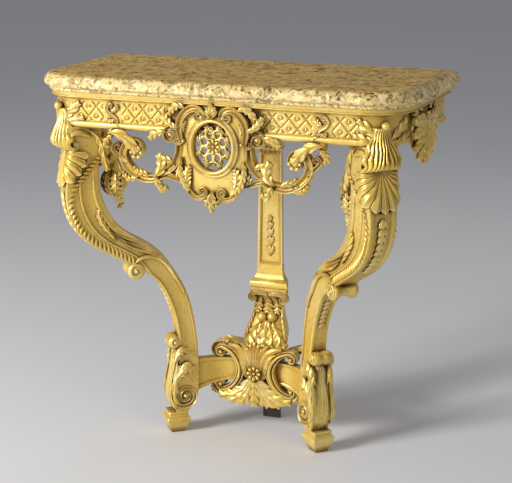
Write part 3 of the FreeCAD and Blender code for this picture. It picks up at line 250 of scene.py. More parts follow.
class Stock:
    """Wood being carved: closed skins gathered into one mesh."""

    def __init__(self) -> None:
        """Start with no skins."""
        self.points: list[Array] = []
        self.faces: list[list[int]] = []
        self.total = 0

    def add(self, points: Array, faces: list) -> None:
        """Add points and the faces between them."""
        self.points.append(points)
        self.faces += [[i + self.total for i in f] for f in faces]
        self.total += len(points)

    def skin(self, rings: Array, closed: bool = False) -> None:
        """Skin a row of closed rings.

        Args:
            rings: Rings by points by three.
            closed: Whether the last ring meets the first; otherwise both ends are filled.
        """
        n, m = rings.shape[:2]
        index = np.arange(n * m).reshape(n, m)
        a = index if closed else index[:-1]
        b = np.roll(index, -1, axis=0) if closed else index[1:]
        quads = np.stack([a, np.roll(a, -1, 1), np.roll(b, -1, 1), b], axis=-1).reshape(-1, 4).tolist()
        if not closed:
            quads += [index[0, ::-1].tolist(), index[-1].tolist()]
        self.add(rings.reshape(-1, 3), quads)

    def band(self, board: Board, path: Array, half: Any, rise: Any, back: float,
             section: Section = Section.FILLETED, closed: bool = False) -> None:
        """Carve a band that follows a line on a board.

        Args:
            board: Board that it lies on.
            path: Flat points of its middle line.
            half: Half its width at each point, or one number.
            rise: Height of its crest at each point, or one number.
            back: Depth of its back behind the board.
            section: Shape of the band.
            closed: Whether the line is a ring.
        """
        n = len(path)
        half, rise = np.broadcast_to(half, n), np.broadcast_to(rise, n)
        if closed:
            tangent = np.roll(path, -1, 0) - np.roll(path, 1, 0)
        else:
            tangent = np.gradient(path, axis=0)
        tangent = unit(tangent)
        side = np.stack([tangent[:, 1], -tangent[:, 0]], axis=1)
        shape = section.shape
        flat = path[:, None] + side[:, None] * half[:, None, None] * shape[None, :, :1]
        lift = np.where(shape[None, :, 1] < 0, -back, shape[None, :, 1] * rise[:, None])
        self.skin(board.at(flat, lift), closed=closed)

    def scroll(self, board: Board, points: Points, widths: Sequence[float], rises: Sequence[float],
               back: float, count: int, first: Optional[tuple] = None, last: Optional[tuple] = None,
               section: Section = Section.FILLETED) -> None:
        """Carve a scroll on a board.

        Args:
            board: Board that it lies on.
            points: Points of its open part.
            widths: A few half widths, spread along it.
            rises: A few heights of its crest, spread along it.
            back: Depth of its back behind the board.
            count: Points along it.
            first: Volute at its start, as scroll_line takes it.
            last: Volute at its end.
            section: Shape of the band.
        """
        line = scroll_line(points, first, last, count)
        self.band(board, line, along(widths, count), along(rises, count), back, section)

    def leaf(self, spine: Array, face: Array, half: Any, rise: float, lobes: int, lean: float = 0.6,
             notch: float = 0.42, fold: float = 0.5, back: float = 3.0, across: int = 15) -> None:
        """Carve an acanthus leaf along a line in space.

        Args:
            spine: Points of the midrib, from stalk to tip.
            face: Direction that the leaf faces, one or one per point.
            half: Half width at each point of the midrib, before it is cut into lobes.
            rise: Height of the leaf's crown.
            lobes: Lobes on each side.
            lean: How far the lobes lean towards the tip.
            notch: How deep the cuts between lobes are.
            fold: How strongly each lobe is folded.
            back: Thickness behind the leaf.
            across: Points across the leaf.
        """
        n = len(spine)
        face = unit(np.broadcast_to(np.asarray(face, float), spine.shape))
        half = np.broadcast_to(half, n)
        tangent = unit(np.gradient(spine, axis=0))
        side = unit(np.cross(tangent, face))
        face = np.cross(side, tangent)
        u = np.linspace(0, 1, n)
        v = np.linspace(-1, 1, across)
        phase = u * lobes
        wave = np.abs(np.sin(np.pi * phase))
        edge = half * (1 - notch * (1 - wave**0.6))
        reach = lean / lobes if lobes > 1 else 0.1
        shifted = np.clip(u[:, None] + reach * np.abs(v[None]) ** 1.4, 0, 1)

        def read(rows: Array) -> Array:
            """Read a row of vectors at the shifted places."""
            return np.stack([np.interp(shifted, u, rows[:, i]) for i in range(3)], axis=-1)

        base = read(spine) + read(side) * (edge[:, None] * v[None])[..., None]
        ruffle = -np.cos(2 * np.pi * phase)[:, None] * np.abs(v[None]) ** 0.8
        rib = 0.45 * np.exp(-((v[None] / 0.13) ** 2)) * (1 - 0.5 * u[:, None])
        taper = np.minimum(1, np.minimum(u / 0.06, (1 - u) / 0.06))[:, None] * 0.75 + 0.25
        crown = 0.75 * (1 - np.abs(v[None]) ** 1.7)
        lift = rise * taper * (crown + rib + fold * ruffle * 0.6 + 0.25)
        out = read(face)
        top = base + out * lift[..., None]
        low = base - out * (back * (0.35 + 0.65 * (1 - v**2)))[None, :, None]
        self.skin(np.concatenate([top, low[:, ::-1]], axis=1))

    def spray(self, board: Board, points: Points, lifts: Sequence[float], widths: Sequence[float],
              rise: float, lobes: int, count: int, **cut: float) -> None:
        """Carve a leaf whose midrib is drawn on a board.

        Args:
            board: Board that it lies on and faces away from.
            points: Flat points of the midrib.
            lifts: A few heights of the midrib over the board, spread along it.
            widths: A few half widths, spread along it.
            rise: Height of the leaf's crown.
            lobes: Lobes on each side.
            count: Points along it.
            **cut: How it is cut, as leaf takes it.
        """
        spine = board.at(smooth(points, count), along(lifts, count))
        self.leaf(spine, board.out, along(widths, count), rise, lobes, **cut)

    def bloom(self, board: Board, centre: Sequence[float], radius: float, petals: int, rise: float,
              back: float, cut: float = 0.28) -> None:
        """Carve a round flower with a boss.

        Args:
            board: Board that it lies on.
            centre: Its middle on the board.
            radius: Its radius.
            petals: How many petals.
            rise: Height of the petals.
            back: Depth behind the board.
            cut: How deep the petals are cut apart.
        """
        spokes = petals * 8
        theta = np.linspace(0, 2 * np.pi, spokes, endpoint=False)
        r = np.array([0.04, 0.12, 0.22, 0.27, 0.34, 0.45, 0.6, 0.75, 0.88, 0.96, 1.0])
        wave = np.abs(np.cos(theta * petals / 2))
        rim = radius * (1 - cut * (1 - wave**0.7))
        boss = np.where(r < 0.27, np.sqrt(np.maximum(0, 1 - (r / 0.28) ** 2)), 0)
        dish = np.where(r > 0.27, np.sin(np.clip((r - 0.27) / 0.73, 0, 1) * np.pi * 0.72), 0)
        lift = rise * (0.9 * boss[:, None] + dish[:, None] * (0.15 + 0.85 * wave[None] ** 0.6) + 0.1)
        flat = circle(spokes) * (rim * r[:, None])[..., None]
        top = board.at(flat + np.asarray(centre, float), lift)
        low = board.at(flat[-1:] * 0.92 + np.asarray(centre, float), -back)
        self.skin(np.concatenate([top, low]))

    def lathe(self, board: Board, centre: Sequence[float], profile: Points, spokes: int,
              squash: float = 1.0) -> None:
        """Turn a boss on a board from radius and lift pairs, outermost first."""
        spin = circle(spokes) * np.array([1, squash])
        rings = [board.at(np.asarray(centre, float) + spin * r, lift) for r, lift in profile]
        self.skin(np.array(rings))

    def build(self, name: str, finish: Material, sharp: float = 48.0) -> bpy.types.Object:
        """Make the mesh object.

        Args:
            name: Name of the piece.
            finish: Its material.
            sharp: Edges that turn by more degrees than this stay sharp.

        Returns:
            The object, linked to the scene.
        """
        mesh = bpy.data.meshes.new(name)
        mesh.from_pydata((np.concatenate(self.points) * MM).tolist(), [], self.faces)
        work = bmesh.new()
        work.from_mesh(mesh)
        bmesh.ops.recalc_face_normals(work, faces=work.faces)
        work.to_mesh(mesh)
        work.free()
        mesh.shade_smooth()
        mesh.set_sharp_from_angle(angle=math.radians(sharp))
        mesh.materials.append(finish)
        piece = bpy.data.objects.new(name, mesh)
        bpy.context.scene.collection.objects.link(piece)
        return piece


def dress(piece: bpy.types.Object, slot: str, *nodes: str) -> None:
    """Fix a piece to the frame.

    Args:
        piece: The finished piece.
        slot: Material slot of the record; not used.
        *nodes: CAD nodes that it stands for.
    """
    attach(piece, BODY)
    if nodes:
        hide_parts(*nodes)
    faces = len(piece.data.polygons)
    LOG.info("%s: %d faces, stands for %s", piece.name, faces, ", ".join(nodes) or "nothing")


# Shaders


class Signal:
    """A shader socket that takes part in sums."""

    def __init__(self, shader: "Shader", socket: bpy.types.NodeSocket) -> None:
        """Wrap a socket of a shader."""
        self.shader = shader
        self.socket = socket

    def _math(self, operation: str, first: Any, second: Any) -> "Signal":
        """Add a Math node."""
        return self.shader.node("ShaderNodeMath", {"operation": operation}, {0: first, 1: second})[0]

    def __add__(self, other: Any) -> "Signal":
        """Add."""
        return self._math("ADD", self, other)

    __radd__ = __add__

    def __sub__(self, other: Any) -> "Signal":
        """Subtract."""
        return self._math("SUBTRACT", self, other)

    def __rsub__(self, other: Any) -> "Signal":
        """Subtract from a number."""
        return self._math("SUBTRACT", other, self)

    def __mul__(self, other: Any) -> "Signal":
        """Multiply."""
        return self._math("MULTIPLY", self, other)

    __rmul__ = __mul__


class Shader:
    """A material's node tree under construction."""

    def __init__(self, name: str) -> None:
        """Make a material with an empty tree."""
        self.material = bpy.data.materials.new(name)
        self.material.use_nodes = True
        self.tree = self.material.node_tree
        self.tree.nodes.clear()

    def node(self, kind: str, settings: dict, inputs: dict) -> list[Signal]:
        """Add a node.

        Args:
            kind: Blender's name for the node's type.
            settings: Properties, set first; "stops" fills a colour ramp.
            inputs: Values or signals by socket name or number.

        Returns:
            The node's outputs.
        """
        made = self.tree.nodes.new(kind)
        for key, value in settings.items():
            if key == "stops":
                ramp = made.color_ramp
                while len(ramp.elements) < len(value):
                    ramp.elements.new(1.0)
                for element, (place, colour) in zip(ramp.elements, value):
                    element.position = place
                    element.color = (*colour, 1.0)
            else:
                setattr(made, key, value)
        for key, value in inputs.items():
            socket = made.inputs[key]
            if isinstance(value, Signal):
                self.tree.links.new(value.socket, socket)
            elif isinstance(value, tuple) and socket.type == "RGBA":
                socket.default_value = (*value, 1.0)
            else:
                socket.default_value = value
        return [Signal(self, s) for s in made.outputs]

    def mix(self, factor: Any, first: Any, second: Any, blend: str = "MIX") -> Signal:
        """Mix two colours by a factor."""
        settings = {"data_type": "RGBA", "blend_type": blend}
        return self.node("ShaderNodeMix", settings, {0: factor, 6: first, 7: second})[2]

    def band(self, signal: Signal, low: float, high: float) -> Signal:
        """Map a stretch of a signal smoothly onto 0 to 1."""
        inputs = {"Value": signal, "From Min": low, "From Max": high, "To Min": 0.0, "To Max": 1.0}
        return self.node("ShaderNodeMapRange", {"interpolation_type": "SMOOTHSTEP"}, inputs)[0]

    def place(self, scale: tuple = (1.0, 1.0, 1.0)) -> Signal:
        """Read object coordinates, stretched."""
        coords = self.node("ShaderNodeTexCoord", {}, {})[3]
        return self.node("ShaderNodeMapping", {}, {"Vector": coords, "Scale": scale})[0]

    def noise(self, vector: Signal, scale: float, detail: float = 3.0, rough: float = 0.55) -> Signal:
        """Add a noise texture."""
        inputs = {"Vector": vector, "Scale": scale, "Detail": detail, "Roughness": rough}
        return self.node("ShaderNodeTexNoise", {}, inputs)[0]

    def bump(self, height: Signal, strength: float, depth: float) -> Signal:
        """Turn a height into a normal."""
        return self.node("ShaderNodeBump", {}, {"Height": height, "Strength": strength, "Distance": depth})[0]

    def finish(self, inputs: dict) -> Material:
        """Close the tree with a principled surface and return its material."""
        surface = self.node("ShaderNodeBsdfPrincipled", {}, inputs)[0]
        self.node("ShaderNodeOutputMaterial", {}, {"Surface": surface})
        return self.material


@dataclass(frozen=True)
class Gilding:
    """Gold leaf over gesso and bole: a toned patina with painted shade in the hollows, wear with a painted
    highlight on the edges.
    """

    name: str = "gold_leaf"
    leaf: tuple = (0.81, 0.55, 0.105)
    pale: tuple = (0.90, 0.68, 0.21)
    # Pale cream for convex edges: rubbed wear with a painted highlight.
    wear_and_highlight: tuple = (0.97, 0.82, 0.38)
    # Bole brown for rubbed wear and marks, also used as painted shade in shallow hollows.
    tone: tuple = (0.38, 0.205, 0.026)
    # Near-black painted shade, over a toned patina, for deep hollows.
    recess_patina_and_shade: tuple = (0.085, 0.04, 0.012)
    metal: float = 0.46
    rough: float = 0.33
    hollow_reach: float = 0.022
    edge_reach: float = 0.0036

    def build(self) -> Material:
        """Return the gilded material."""
        s = Shader(self.name)
        here = s.place()
        broad = s.noise(here, 7.0, 3.0)
        patch = s.noise(here, 38.0, 4.0, 0.6)
        grain = s.noise(here, 420.0, 2.0, 0.5)
        # Occlusion finds the hollows; the deep and soft masks below paint shade into them over a toned
        # patina.
        hollow = s.node("ShaderNodeAmbientOcclusion", {"samples": 8}, {"Distance": self.hollow_reach})[1]
        # Inside occlusion finds convex edges, which are lightened below as rubbed wear with a painted
        # highlight.
        edge = s.node("ShaderNodeAmbientOcclusion", {"samples": 6, "inside": True, "only_local": True},
                      {"Distance": self.edge_reach})[1]
        deep = 1.0 - s.band(hollow, 0.2, 0.72)
        soft = 1.0 - s.band(hollow, 0.5, 0.97)
        edge_wear_and_highlight = (1.0 - s.band(edge, 0.35, 0.85)) * s.band(patch, 0.3, 0.6)
        colour = s.mix(s.band(broad, 0.35, 0.68), self.leaf, self.pale)
        rubbed = s.band(patch, 0.56, 0.72) * 0.35
        speck = s.band(s.noise(here, 150.0, 3.0, 0.65), 0.53, 0.66)
        # Rubbed and speck are real wear and marks; soft and deep paint shade into the hollows; the edge mask
        # paints a highlight along with the wear.
        for mask, tone in ((rubbed, self.tone), (speck * 0.34, self.tone), (soft * 0.8, self.tone),
                           (deep * 0.9, self.recess_patina_and_shade), (edge_wear_and_highlight * 0.6, self.wear_and_highlight)):
            colour = s.mix(mask, colour, tone)
        height = grain * 0.5 + patch * 0.8
        return s.finish({
            "Base Color": colour,
            "Metallic": self.metal - deep * 0.6 - rubbed * 0.3,
            "Roughness": self.rough + deep * 0.3 + patch * 0.14 - 0.06,
            "Coat Weight": edge_wear_and_highlight * 0.25 + 0.08,
            "Normal": s.bump(height, 0.22, 0.0009),
        })


@dataclass(frozen=True)
class Breccia:
    """Polished breccia: broken cream, ochre and brown stone with dark veins and grey spots."""

    name: str = "breccia"
    clast: float = 62.0
    fleck: float = 175.0
    rough: float = 0.36
    top_shade: tuple = (0.82, 0.68, 0.41)
    top_shade_heights: tuple = (0.845, 0.8495)

    def build(self) -> Material:
        """Return the stone, with painted shade that darkens and yellows its top face."""
        s = Shader(self.name)
        here = s.place()
        drift = s.node("ShaderNodeTexNoise", {}, {"Vector": here, "Scale": 9.0, "Detail": 4.0})[1]
        bent = s.node("ShaderNodeVectorMath", {"operation": "MULTIPLY_ADD"},
                      {0: drift, 1: (0.05, 0.05, 0.05), 2: here})[0]
        stones = s.node("ShaderNodeTexVoronoi", {}, {"Vector": bent, "Scale": self.clast})[1]
        pick = s.node("ShaderNodeSeparateColor", {}, {"Color": stones})[0]
        flecks = s.node("ShaderNodeTexVoronoi", {}, {"Vector": bent, "Scale": self.fleck})[1]
        chip = s.node("ShaderNodeSeparateColor", {}, {"Color": flecks})[1]
        ground = s.node("ShaderNodeValToRGB", {"stops": (
            (0.0, (0.20, 0.11, 0.03)), (0.2, (0.58, 0.38, 0.11)), (0.5, (0.92, 0.72, 0.32)),
            (0.75, (0.74, 0.50, 0.16)), (1.0, (0.98, 0.86, 0.47)))}, {"Fac": pick})[0]
        chips = s.node("ShaderNodeValToRGB", {"stops": (
            (0.0, (0.02, 0.014, 0.01)), (0.13, (0.07, 0.04, 0.02)), (0.17, (0.60, 0.39, 0.16)),
            (0.6, (0.93, 0.75, 0.34)), (1.0, (0.98, 0.90, 0.56)))}, {"Fac": chip})[0]
        colour = s.mix(0.5, ground, chips)
        blots = s.band(s.noise(bent, 36.0, 4.0, 0.7), 0.56, 0.63)
        clouds = s.band(s.noise(here, 6.0, 3.0), 0.5, 0.7)
        dust = s.band(s.noise(here, 480.0, 2.0), 0.58, 0.66)
        seam = s.node("ShaderNodeTexVoronoi", {"feature": "DISTANCE_TO_EDGE"},
                      {"Vector": bent, "Scale": 18.0})[0]
        vein = (1.0 - s.band(seam, 0.004, 0.03)) * s.band(s.noise(here, 11.0, 2.0), 0.54, 0.64)
        spots = s.band(s.noise(here, 24.0, 1.0), 0.70, 0.74)
        for mask, share, tone in ((blots, 0.66, (0.20, 0.10, 0.03)), (clouds, 0.25, (0.60, 0.36, 0.15)),
                                  (dust, 0.6, (0.14, 0.08, 0.04)), (vein, 0.6, (0.10, 0.06, 0.04)),
                                  (spots, 0.75, (0.10, 0.09, 0.085))):
            colour = s.mix(mask * share, colour, tone)
        # Painted shade: the top face alone is multiplied darker and yellower.
        height = s.node("ShaderNodeSeparateXYZ", {}, {"Vector": here})[2]
        colour = s.mix(s.band(height, *self.top_shade_heights), colour, self.top_shade, "MULTIPLY")
        pits = s.noise(here, 260.0, 2.0)
        return s.finish({
            "Base Color": colour,
            "Roughness": self.rough + pits * 0.12,
            "Specular IOR Level": 0.1,
            "Normal": s.bump(pits, 0.06, 0.0006),
        })


@dataclass(frozen=True)
class Timber:
    """Plain timber with grain along one direction."""

    name: str
    light: tuple
    dark: tuple
    stretch: tuple = (1.0, 14.0, 14.0)
    rough: float = 0.62

    def build(self) -> Material:
        """Return the timber."""
        s = Shader(self.name)
        grain = s.noise(s.place(self.stretch), 14.0, 5.0, 0.62)
        pores = s.noise(s.place(tuple(c * 2.0 for c in self.stretch)), 60.0, 2.0)
        colour = s.mix(s.band(grain, 0.3, 0.7), self.dark, self.light)
        return s.finish({
            "Base Color": s.mix(s.band(pores, 0.55, 0.75) * 0.4, colour, self.dark),
            "Roughness": self.rough + grain * 0.16,
            "Normal": s.bump(grain + pores * 0.5, 0.25, 0.0008),
        })


@dataclass(frozen=True)
class Finishes:
    """The materials of the table."""

    gilt: Material
    marble: Material
    oak: Material
    # Near-black timber whose colour paints the shade at the rear block and foot.
    dark: Material


# Repeats by Geometry Nodes


class Repeater:
    """Places one carved motif at marked points through a node tree."""

    def __init__(self, name: str) -> None:
        """Build the tree, with its motif, size and finish as inputs."""
        tree = bpy.data.node_groups.new(name, "GeometryNodeTree")
        face = tree.interface
        face.new_socket("Geometry", in_out="INPUT", socket_type="NodeSocketGeometry")
        motif = face.new_socket("Motif", in_out="INPUT", socket_type="NodeSocketObject")
        size = face.new_socket("Size", in_out="INPUT", socket_type="NodeSocketFloat")
        finish = face.new_socket("Finish", in_out="INPUT", socket_type="NodeSocketMaterial")
        face.new_socket("Geometry", in_out="OUTPUT", socket_type="NodeSocketGeometry")
        self.tree = tree
        self.keys = {"Motif": motif.identifier, "Size": size.identifier, "Finish": finish.identifier}
        add = tree.nodes.new
        source, target = add("NodeGroupInput"), add("NodeGroupOutput")
        info, dots = add("GeometryNodeObjectInfo"), add("GeometryNodeMeshToPoints")
        turn, grow = add("GeometryNodeInputNamedAttribute"), add("GeometryNodeInputNamedAttribute")
        scale, copies = add("ShaderNodeMath"), add("GeometryNodeInstanceOnPoints")
        real, coat = add("GeometryNodeRealizeInstances"), add("GeometryNodeSetMaterial")
        turn.data_type, turn.inputs["Name"].default_value = "FLOAT_VECTOR", "turn"
        grow.data_type, grow.inputs["Name"].default_value = "FLOAT", "grow"
        scale.operation = "MULTIPLY"
        for start, out, end, into in (
            (source, "Geometry", dots, "Mesh"),
            (source, "Motif", info, "Object"),
            (dots, "Points", copies, "Points"),
            (info, "Geometry", copies, "Instance"),
            (turn, "Attribute", copies, "Rotation"),
            (grow, "Attribute", scale, 0),
            (source, "Size", scale, 1),
            (scale, 0, copies, "Scale"),
            (copies, "Instances", real, "Geometry"),
            (real, "Geometry", coat, "Geometry"),
            (source, "Finish", coat, "Material"),
            (coat, "Geometry", target, "Geometry"),
        ):
            tree.links.new(start.outputs[out], end.inputs[into])

    def run(self, name: str, motif: bpy.types.Object, spots: Any, axes: Array, sizes: Any,
            finish: Material) -> bpy.types.Object:
        """Place the motif and turn the result into a plain mesh.

        Args:
            name: Name of the new piece.
            motif: Object to repeat; it is removed afterwards.
            spots: Points in millimetres.
            axes: For each point, a three by three array whose columns are the motif's directions.
            sizes: Scale of each copy, or one for all.
            finish: Material of the copies.

        Returns:
            The new piece.
        """
        marks = bpy.data.meshes.new(name + "_marks")
        marks.from_pydata((np.asarray(spots) * MM).tolist(), [], [])
        turn = marks.attributes.new("turn", "FLOAT_VECTOR", "POINT")
        turns = [tuple(Matrix(a.tolist()).to_euler("XYZ")) for a in np.asarray(axes, float)]
        turn.data.foreach_set("vector", np.array(turns, float).ravel())
        grow = marks.attributes.new("grow", "FLOAT", "POINT")
        grow.data.foreach_set("value", np.broadcast_to(sizes, len(turns)).astype(float))
        holder = bpy.data.objects.new(name, marks)
        bpy.context.scene.collection.objects.link(holder)
        modifier = holder.modifiers.new("repeat", "NODES")
        modifier.node_group = self.tree
        modifier[self.keys["Motif"]] = motif
        modifier[self.keys["Size"]] = 1.0
        modifier[self.keys["Finish"]] = finish
        graph = bpy.context.evaluated_depsgraph_get()
        mesh = bpy.data.meshes.new_from_object(holder.evaluated_get(graph))
        mesh.name = name
        holder.modifiers.remove(modifier)
        holder.data = mesh
        bpy.data.meshes.remove(marks)
        shape = motif.data
        bpy.data.objects.remove(motif)
        bpy.data.meshes.remove(shape)
        mesh.shade_smooth()
        mesh.set_sharp_from_angle(angle=math.radians(MOTIF_SHARP))
        return holder


def axes_from(x: Array, z: Array) -> Array:
    """Make direction arrays from the way a motif points and the way it faces."""
    x = unit(x)
    y = unit(np.cross(z, x))
    return np.stack([x, y, np.cross(x, y)], axis=-1)


def boss_motif(name: str, finish: Material, radius: float = 2.3, rise: float = 1.6) -> bpy.types.Object:
    """Carve one small round boss at the origin."""
    stock = Stock()
    board = Board((0, 0, 0), (1, 0, 0), (0, 1, 0), (0, 0, 1))
    profile = ((radius, -0.6), (radius, 0.3), (radius * 0.7, rise * 0.75), (radius * 0.25, rise))
    stock.lathe(board, (0, 0), profile, 8)
    return stock.build(name, finish)


def tip_motif(name: str, finish: Material, length: float = 22.0, half: float = 4.7) -> bpy.types.Object:
    """Carve one leaf tip that lies along X and faces Z."""
    spine = smooth(((0, 0, -1.2), (length * 0.35, 0, 1.4), (length * 0.7, 0, 3.4), (length, 0, 3.0)), 9)
    u = np.linspace(0, 1, 9)
    shape = half * np.sin(np.pi * np.clip(u * 0.86 + 0.14, 0, 1)) ** 0.8 + 0.3
    ring = whole(((-1.0, -4.0), (-0.9, 0.0), (-0.45, 1.7), (0.0, 2.4)))
    stock = Stock()
    stock.skin(np.array([[point + np.array([0, a * width, b]) for a, b in ring]
                         for point, width in zip(spine, shape)]))
    return stock.build(name, finish)


def husk_motif(name: str, finish: Material, length: float = 18.0, half: float = 6.5) -> bpy.types.Object:
    """Carve one husk: three folded petals along X, facing Z."""
    stock = Stock()
    u = np.linspace(0, 1, 9)
    for lean, wide in ((-0.42, 0.8), (0.42, 0.8), (0.0, 1.0)):
        tip = np.array([length * (0.86 if lean else 1.0), lean * length * 0.9, 0.6])
        spine = smooth(((0, 0, 1.0), tuple(tip * 0.55 + np.array([0, lean * 2, 2.4])), tuple(tip)), 9)
        widths = half * wide * 0.62 * np.sin(np.pi * np.clip(u * 0.8 + 0.17, 0, 1)) + 0.3
        stock.leaf(spine, (0, 0, 1), widths, 2.4, 1, **FOLD, back=1.4, across=7)
    return stock.build(name, finish)


# The slab


@dataclass
class MarbleTop:
    """The breccia slab with rounded front corners and a thumb-moulded edge."""

    width: float = 860.0
    depth: float = 400.0
    top: float = 850.0
    corner: float = 107.0
    edge: Points = ((24, 0), (19, -0.2), (13.5, -1.6), (8.5, -4.4), (4.5, -8.2), (1.6, -12.6), (0.2, -17.2),
                    (0.3, -21), (1.6, -24.4), (4.4, -26.8), (8.0, -27.8), (10.6, -28.0), (11.0, -28.6),
                    (11.0, -34.2), (11.6, -35.0))

    def outline(self, inset: float, count: int = 24) -> Array:
        """Return the slab's outline, brought in on its front and sides."""
        half, front, back = self.width / 2 - inset, -self.depth / 2 + inset, self.depth / 2
        r = max(self.corner - inset, 1.0)
        angle = np.linspace(0, np.pi / 2, count)
        right = np.stack([half - r + r * np.cos(angle), front + r - r * np.sin(angle)], axis=1)
        left = right[::-1] * np.array([-1, 1])
        sides = np.array([[half, y] for y in np.linspace(back, front + r, 14)[:-1]])
        front_run = np.array([[x, front] for x in np.linspace(half - r, r - half, 40)[1:-1]])
        return np.concatenate([sides, right, front_run, left, sides[::-1] * np.array([-1, 1])])

    def build(self, finish: Material) -> None:
        """Build and dress the slab."""
        rings = []
        for inset, drop in self.edge:
            flat = self.outline(inset)
            rings.append(np.column_stack([flat, np.full(len(flat), self.top + drop)]))
        stock = Stock()
        stock.skin(np.array(rings))
        dress(stock.build("marble_slab", finish, 40), "marble", "marble_top")


# The frieze


@dataclass
class Frieze:
    """Rails and rounded corners: cornice, hollow, trellis ground and bead.

    The ground stays plain behind the cartouche, round the clasps and behind the side pendants.
    """

    side: float = 398.0
    front: float = 168.0
    back: float = 190.0
    radius: float = 75.0
    foot: float = 736.0
    ground_low: float = 15.0
    ground_high: float = 58.0
    pitch: float = 37.0
    groove: float = 2.5
    groove_half: float = 1.7
    ring: float = 4.4
    ring_half: float = 1.4
    thick: float = 30.0
    tall: float = 79.0
    tongue: float = 10.0
    shoulder: float = 1.6
    bead: float = 6.0
    hollow: tuple = (13.0, 8.0)
    cornice: Points = ((14.0, 66.4), (16.0, 67.2), (16.0, 69.0), (14.6, 69.8), (14.4, 71.5), (15.2, 74.0),
                       (16.0, 76.0), (16.0, 78.4), (15.4, 79.0))
    cartouche_half: float = 104.0
    clasp_at: float = 238.0
    clasp_half: float = 20.0
    pendant_at: float = -5.0
    pendant_half: float = 84.0
    bosses: list = field(default_factory=list)

    def section(self) -> Array:
        """Return the moulding as reach and height, from its inner foot round to its inner top."""
        ball = self.ground_low / 2
        deep, high = self.hollow
        bead = [(self.bead * math.sin(a), ball - ball * math.cos(a)) for a in np.linspace(0, math.pi, 13)]
        ground = [(0.0, h) for h in np.linspace(self.ground_low + 0.6, self.ground_high, 36)]
        hollow = [(deep - deep * math.cos(a), self.ground_high + high * math.sin(a))
                  for a in np.linspace(0.15, math.pi / 2, 8)]
        foot, top = (-self.thick, 0.2), (-self.thick, self.tall)
        return np.array([foot, *bead, *ground, *hollow, *self.cornice, top])

    def cut(self, run: Array, height: Array, keep: Array) -> Array:
        """Return how deep the trellis is cut at places along and up the ground."""
        tall = self.ground_high - self.ground_low
        a = run / self.pitch
        b = (height - (self.ground_low + self.ground_high) / 2) / tall
        rising, falling = a + b - 0.75, a - b - 0.25
        near = np.minimum(np.abs(rising - np.round(rising)), np.abs(falling - np.round(falling)))
        depth = self.groove * np.exp(-((near * self.pitch / self.groove_half) ** 2))
        for shift, share in ((0.0, 0.25), (0.5, -0.25)):
            along_run = (a - shift - np.round(a - shift)) * self.pitch
            away = np.hypot(along_run, (b - share) * tall)
            ring = np.exp(-(((away - self.ring) / self.ring_half) ** 2))
            depth = np.maximum(depth, self.groove * 0.8 * ring)
        inside = (height > self.ground_low + 1.5) & (height < self.ground_high - 0.5)
        return np.where(inside, depth, 0.0) * keep

    @staticmethod
    def lengthen(rows: Array, k: int, near: Array, far: Array) -> Array:
        """Add two rows before the first row, for 0, or after the last, for -1."""
        return np.concatenate([[far, near], rows] if k == 0 else [rows, [near, far]])

    def rail(self, name: str, run: Array, place: Callable[[Array, Array, Array], Array],
             plain: Callable[[Array], Array], finish: Material, tongues: tuple, node: str) -> None:
        """Carve one stretch of the frieze.

        Args:
            name: Name of the piece.
            run: Distances along the stretch.
            place: Turns distance, reach and height into points.
            plain: Gives 0 where the ground stays plain and 1 where it is cut, by distance.
            finish: Its material.
            tongues: Whether its start and its end run on into the neighbour.
            node: CAD node that it stands for.
        """
        shape = self.section()
        where, reach = np.meshgrid(run, shape[:, 0], indexing="ij")
        height = np.broadcast_to(shape[:, 1], where.shape)
        on_ground = np.abs(reach) < 1e-6
        reach = reach - np.where(on_ground, self.cut(where, height, plain(where)), 0.0)
        for k, step, wanted in ((0, -self.tongue, tongues[0]), (-1, self.tongue, tongues[1])):
            if wanted:
                thin = np.where(reach[k] > -self.thick, reach[k] - self.shoulder, reach[k] + self.shoulder)
                low = np.clip(height[k], self.shoulder, self.tall - self.shoulder)
                where = self.lengthen(where, k, where[k], where[k] + step)
                reach = self.lengthen(reach, k, thin, thin)
                height = self.lengthen(height, k, low, low)
        stock = Stock()
        stock.skin(place(where, reach, height + self.foot))
        dress(stock.build(name, finish, 40), "gilt", node)
        middle = (self.ground_low + self.ground_high) / 2
        quarter = (self.ground_high - self.ground_low) / 4
        first, last = math.ceil(run[0] / self.pitch), math.floor(run[-1] / self.pitch)
        for k in range(first, last + 1):
            for shift, level in ((0.0, middle + quarter), (0.5, middle - quarter)):
                at = np.array([(k + shift) * self.pitch])
                if run[0] + 5 < at[0] < run[-1] - 5 and plain(at)[0] > 0.9:
                    spots = [place(at, np.array([r]), np.array([level + self.foot]))[0] for r in (0.0, 1.0)]
                    self.bosses.append((spots[0], spots[1] - spots[0]))

    def build(self, finishes: Finishes, repeater: Repeater) -> None:
        """Build and dress the frieze, its bosses and its clasps."""
        gilt = finishes.gilt
        half = self.side - self.radius

        def on_front(run: Array, reach: Array, z: Array) -> Array:
            """Place on the front."""
            return np.stack([run, -self.front - reach, z], axis=-1)

        def front_cut(x: Array) -> Array:
            """Cut the front but for the cartouche and the clasps."""
            clear = np.clip((np.abs(np.abs(x) - self.clasp_at) - self.clasp_half) / 2, 0, 1)
            return np.clip((np.abs(x) - self.cartouche_half) / 2, 0, 1) * clear

        def side_cut(y: Array) -> Array:
            """Cut a side but for its pendant."""
            return np.clip((np.abs(y - self.pendant_at) - self.pendant_half) / 2, 0, 1)

        straight = np.linspace(-half, half, 519)
        self.rail("frieze_front", straight, on_front, front_cut, gilt, (True, True), "front_rail")
        for word, hand in SIDES:

            def on_corner(run: Array, reach: Array, z: Array, hand: int = hand) -> Array:
                """Place on a rounded corner."""
                angle = run / self.radius
                r = np.maximum(self.radius + reach, 0.5)
                x = half + r * np.sin(angle)
                return np.stack([hand * x, -(self.front - self.radius) - r * np.cos(angle), z], axis=-1)

